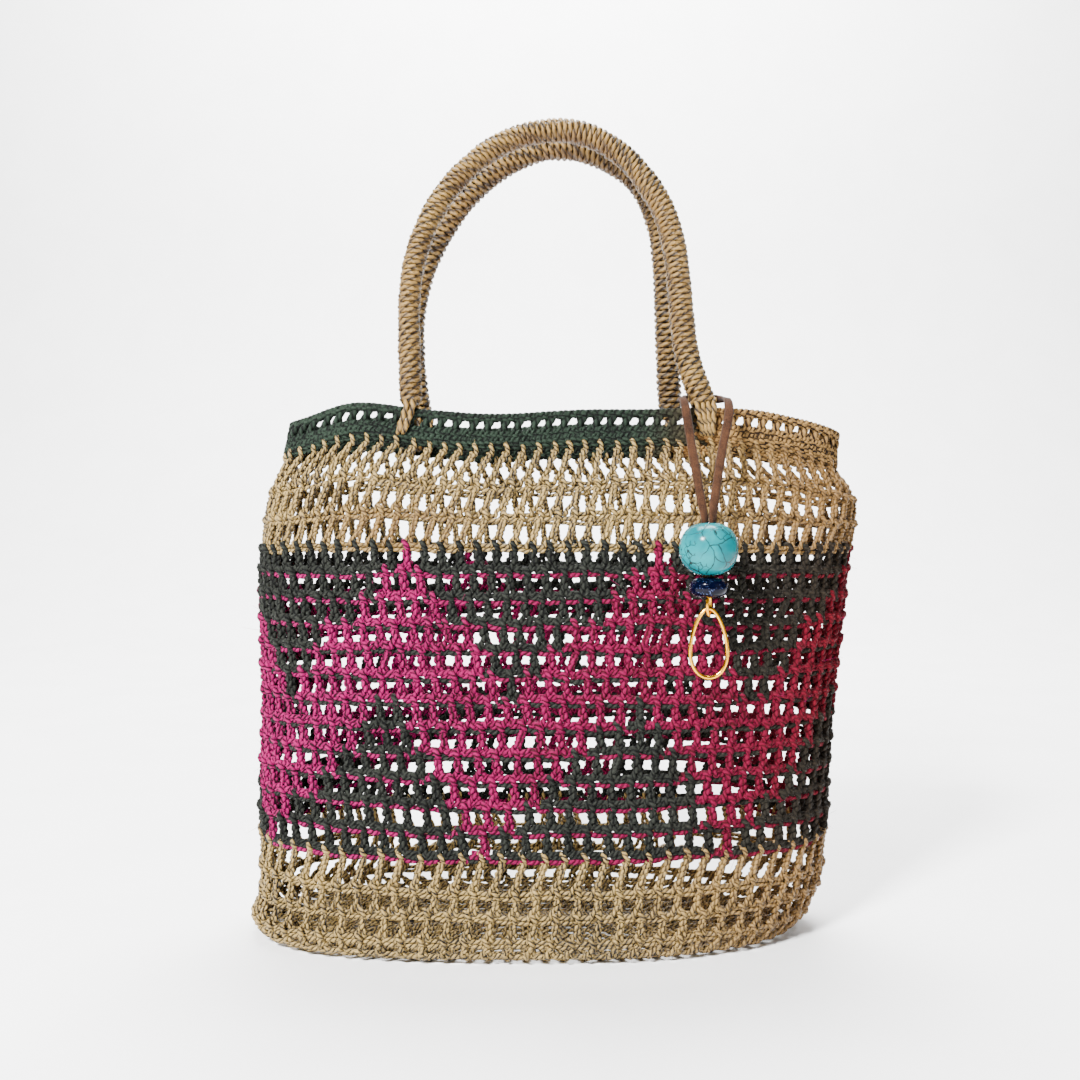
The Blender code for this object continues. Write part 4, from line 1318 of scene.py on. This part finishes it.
@dataclass
class BeadCharm:
    """Two large-hole beads on a doubled suede lace, with a link and a plain hoop."""

    x: float = 0.0535
    y: float = -0.0580
    hole: float = 0.0028
    lace_wide: float = 0.0033
    lace_thick: float = 0.0015
    turquoise_z: float = 0.1528
    turquoise_radius: float = 0.0104
    turquoise_half: float = 0.0095
    turquoise_boxy: float = 2.3
    navy_z: float = 0.1391
    navy_radius: float = 0.0068
    navy_half: float = 0.0038
    navy_boxy: float = 2.6
    link_z: float = 0.1331
    link_half: tuple = (0.0016, 0.0040)
    link_wire: float = 0.0005
    link_turn: float = math.radians(62.0)
    hoop_reach: float = 0.0080
    hoop_neck: float = 0.6
    hoop_top: float = 0.1316
    hoop_low: float = 0.1070
    hoop_wire: float = 0.0007

    def lace(self, material: bpy.types.Material) -> bpy.types.Object:
        """The flat lace, up one side of the handle's foot and down the other."""
        count, sides = 190, 12
        line = smooth_route(LACE_ROUTE, count)
        steps = np.concatenate([[0.0], np.cumsum(np.linalg.norm(np.diff(LACE_ROUTE, axis=0), axis=1))])
        at = np.linspace(0, steps[-1], count)
        widths = np.array(LACE_WIDTHS)
        first = unit(np.stack([np.interp(at, steps, widths[:, k]) for k in range(3)], axis=1))
        angle = 2 * math.pi * np.arange(sides) / sides
        wide, thick = self.lace_wide / 2, self.lace_thick / 2
        section = (np.abs(np.cos(angle) / wide) ** 4 + np.abs(np.sin(angle) / thick) ** 4) ** -0.25
        ripple = 1 + 0.035 * np.sin(np.linspace(0, 61, count)) + 0.025 * np.sin(np.linspace(0, 23, count))
        mesh = StrandMesh()
        mesh.add(line, section[None, :] * ripple[:, None], sides, first=first)
        made = mesh.make("suede_lace")
        settle(made, material, "suede_lace", "charm_lace")
        return made

    def bead(self, name: str, radius: float, half: float, boxy: float, z: float, rings: int) -> bpy.types.Object:
        """A turned bead with a hole through it.

        Args:
            name: The bead's name.
            radius: Its outer radius.
            half: Half its height.
            boxy: Exponent of its side outline.
            z: Height of its middle.
            rings: Points down its side.

        Returns:
            The bead's object.
        """
        start = math.acos(min((self.hole + 0.0004) / radius, 1.0) ** (boxy / 2))
        angle = np.linspace(start, -start, rings)
        reach = radius * np.cos(angle) ** (2 / boxy)
        rise = np.sign(angle) * half * np.abs(np.sin(angle)) ** (2 / boxy)
        lip = np.array([(self.hole + 0.0001, rise[-1] + 0.00012), (self.hole, rise[-1] + 0.0006),
                        (self.hole, rise[0] - 0.0006), (self.hole + 0.0001, rise[0] - 0.00012)])
        profile = np.vstack([np.stack([reach, rise], axis=1), lip])
        around, size = 72, len(profile)
        turn = 2 * math.pi * np.arange(around) / around
        points = np.stack([
            self.x + profile[None, :, 0] * np.cos(turn)[:, None],
            self.y + profile[None, :, 0] * np.sin(turn)[:, None],
            z + np.broadcast_to(profile[:, 1], (around, size)),
        ], axis=-1).reshape(-1, 3)
        faces = []
        for a in range(around):
            b = (a + 1) % around
            for k in range(size):
                n = (k + 1) % size
                faces.append((a * size + k, a * size + n, b * size + n, b * size + k))
        mesh = bpy.data.meshes.new(name)
        mesh.from_pydata(points.tolist(), [], faces)
        mesh.shade_smooth()
        made = bpy.data.objects.new(name, mesh)
        bpy.context.scene.collection.objects.link(made)
        return made

    def wire_ring(self, name: str, line: np.ndarray, wire: float) -> bpy.types.Object:
        """A closed ring of round wire."""
        mesh = StrandMesh()
        flat = np.roll(line, -1, axis=0) - np.roll(line, 1, axis=0)
        square = np.cross(unit(flat)[0], unit(flat)[len(line) // 4])
        first = np.broadcast_to(unit(square), line.shape)
        mesh.add(line, wire, 16, closed=True, first=first)
        return mesh.make(name)

    def build(self) -> list:
        """Builds the charm and lists its pieces."""
        gold = GoldFinish().material()
        lace = self.lace(SuedeFinish().material())
        turquoise = self.bead("turquoise_bead", self.turquoise_radius, self.turquoise_half,
                              self.turquoise_boxy, self.turquoise_z, 40)
        settle(turquoise, TurquoiseFinish().material(), "turquoise_stone", "bead_turquoise")
        navy = self.bead("navy_bead", self.navy_radius, self.navy_half, self.navy_boxy, self.navy_z, 26)
        settle(navy, NavyFinish().material(), "navy_glass", "bead_navy")
        turn = 2 * math.pi * np.arange(40) / 40
        across = self.link_half[0] * np.cos(turn)
        link = self.wire_ring("gold_link", np.stack([
            self.x + across * math.cos(self.link_turn), self.y + across * math.sin(self.link_turn),
            self.link_z + self.link_half[1] * np.sin(turn)], axis=1), self.link_wire)
        settle(link, gold, "gold_metal", "charm_link")
        turn = 2 * math.pi * np.arange(72) / 72
        taper = self.hoop_neck + (1 - self.hoop_neck) * np.sin(turn / 2) ** 2
        half = (self.hoop_top - self.hoop_low) / 2
        hoop = self.wire_ring("gold_hoop", np.stack([
            self.x + self.hoop_reach * np.sin(turn) * taper, np.full(72, self.y),
            self.hoop_top - half + half * np.cos(turn)], axis=1), self.hoop_wire)
        settle(hoop, gold, "gold_metal", "charm_hoop")
        return [lace, turquoise, navy, link, hoop]


@dataclass
class Studio:
    """The pale sweep, the soft lights and the camera."""

    camera_place: tuple = (-0.0065, -0.443, 0.156)
    lens: float = 36.1
    floor_half: float = 2.2
    sweep_start: float = 0.9
    sweep_radius: float = 0.7

    def build(self) -> None:
        """Sets the studio up."""
        self._sweep()
        self._lights()
        camera = bpy.data.cameras.new("camera")
        camera.lens = self.lens
        camera.sensor_width = 36.0
        camera.clip_start = 0.01
        made = bpy.data.objects.new("camera", camera)
        made.location = self.camera_place
        made.rotation_euler = (math.radians(90.0), 0.0, 0.0)
        bpy.context.scene.collection.objects.link(made)
        bpy.context.scene.camera = made

    def _sweep(self) -> None:
        """A floor that curves up into a backdrop."""
        profile = [(-self.floor_half, 0.0), (self.sweep_start, 0.0)]
        for k in range(1, 25):
            angle = math.pi / 2 * k / 24
            profile.append((self.sweep_start + self.sweep_radius * math.sin(angle),
                            self.sweep_radius * (1 - math.cos(angle))))
        profile.append((profile[-1][0], self.floor_half))
        points = [(x, y, z) for y, z in profile for x in (-self.floor_half, self.floor_half)]
        faces = [(2 * k, 2 * k + 1, 2 * k + 3, 2 * k + 2) for k in range(len(profile) - 1)]
        mesh = bpy.data.meshes.new("sweep")
        mesh.from_pydata(points, [], faces)
        mesh.shade_smooth()
        sweep = bpy.data.objects.new("sweep", mesh)
        bpy.context.scene.collection.objects.link(sweep)
        made, board, shader = new_material("sweep_paper")
        wear = board.node("ShaderNodeGroup", node_tree=EFFECTS.handling)
        wear.inputs["Size"].default_value = 14.0
        wear.inputs["Amount"].default_value = 0.1
        wear.inputs["Roughness"].default_value = 0.8
        colour = board.mix(wear.outputs["Mask"], (0.93, 0.93, 0.93, 1.0), (0.90, 0.90, 0.90, 1.0))
        board.feed(shader.inputs["Base Color"], colour)
        board.feed(shader.inputs["Roughness"], wear.outputs["Roughness"])
        shader.inputs["Specular IOR Level"].default_value = 0.1
        sweep.data.materials.append(made)

    def _lights(self) -> None:
        """A soft key from the upper left, a weak fill, and a light on the backdrop."""
        world = bpy.data.worlds.new("studio")
        world.use_nodes = True
        back = world.node_tree.nodes["Background"]
        back.inputs["Color"].default_value = (0.97, 0.985, 1.0, 1.0)
        back.inputs["Strength"].default_value = 0.12
        bpy.context.scene.world = world
        for name, place, aim, size, power in (
            ("key", (-0.62, -0.95, 1.00), (0.0, 0.0, 0.13), 0.24, 96.0),
            ("fill", (0.95, -0.75, 0.55), (0.0, 0.0, 0.13), 0.9, 2.0),
            ("backdrop light", (0.0, 0.75, 1.9), (0.0, 1.6, 0.55), 1.2, 190.0),
        ):
            light = bpy.data.lights.new(name, "AREA")
            light.size = size
            light.energy = power
            made = bpy.data.objects.new(name, light)
            made.location = place
            way = Vector(aim) - Vector(place)
            made.rotation_euler = way.to_track_quat("-Z", "Y").to_euler()
            bpy.context.scene.collection.objects.link(made)


FRONT_HOOP = (
    (-0.0565, 0.2180), (-0.0572, 0.2350), (-0.0575, 0.2480), (-0.0565, 0.2610),
    (-0.0533, 0.2745), (-0.0478, 0.2875), (-0.0400, 0.2990), (-0.0282, 0.3105),
    (-0.0140, 0.3180), (0.0021, 0.3203), (0.0150, 0.3172), (0.0265, 0.3095),
    (0.0348, 0.2998), (0.0418, 0.2875), (0.0455, 0.2752), (0.0474, 0.2610),
    (0.0485, 0.2440), (0.0494, 0.2330), (0.0508, 0.2245), (0.0525, 0.2190),
)
BACK_HOOP = (
    (-0.0590, 0.2200), (-0.0605, 0.2330), (-0.0605, 0.2470), (-0.0589, 0.2582),
    (-0.0550, 0.2712), (-0.0482, 0.2846), (-0.0380, 0.2985), (-0.0255, 0.3096),
    (-0.0110, 0.3170), (0.0020, 0.3192), (0.0160, 0.3168), (0.0298, 0.3096),
    (0.0385, 0.2998), (0.0437, 0.2865), (0.0460, 0.2730), (0.0472, 0.2560),
    (0.0479, 0.2420), (0.0488, 0.2280), (0.0495, 0.2190),
)
FRONT_FEET = (-0.0560, 0.0564)
BACK_FEET = (-0.0575, 0.0505)
FRONT_RADII = (0.0043, 0.0047, 0.0050)      # over the wraps: left foot, top, right foot
BACK_RADII = (0.0047, 0.0047, 0.0053)


def main() -> None:
    """Builds the looks around the frame."""
    logging.basicConfig(level=logging.INFO, format="%(name)s %(message)s")
    rng = np.random.default_rng(SEED)
    wall = BagWall()
    Studio().build()
    BeadCharm().build()
    materials = {yarn: finish.material() for yarn, finish in FINISHES.items()}
    KnottedNet(wall, rng).build(materials)
    PlaitedRim(wall, rng).build(materials)
    for handle in (
        WrappedHandle(wall, rng, "handle_front", FRONT_HOOP, FRONT_FEET, FRONT_RADII, False),
        WrappedHandle(wall, rng, "handle_back", BACK_HOOP, BACK_FEET, BACK_RADII, True, 0.0026),
    ):
        handle.build(materials)
    for lashing in (
        Lashing(wall, rng, "lashing_front_left", FRONT_FEET[0], False, 2, lean=-0.0034, gather=0.8, hang=0.0095),
        Lashing(wall, rng, "lashing_front_right", FRONT_FEET[1], False, 4, lean=0.0006, gather=0.55, hang=0.0100,
                pitch=0.0021),
        Lashing(wall, rng, "lashing_back_left", BACK_FEET[0], True, 4, gather=0.85),
        Lashing(wall, rng, "lashing_back_right", BACK_FEET[1], True, 2),
    ):
        lashing.build(materials)


if __name__ == "__main__":
    main()
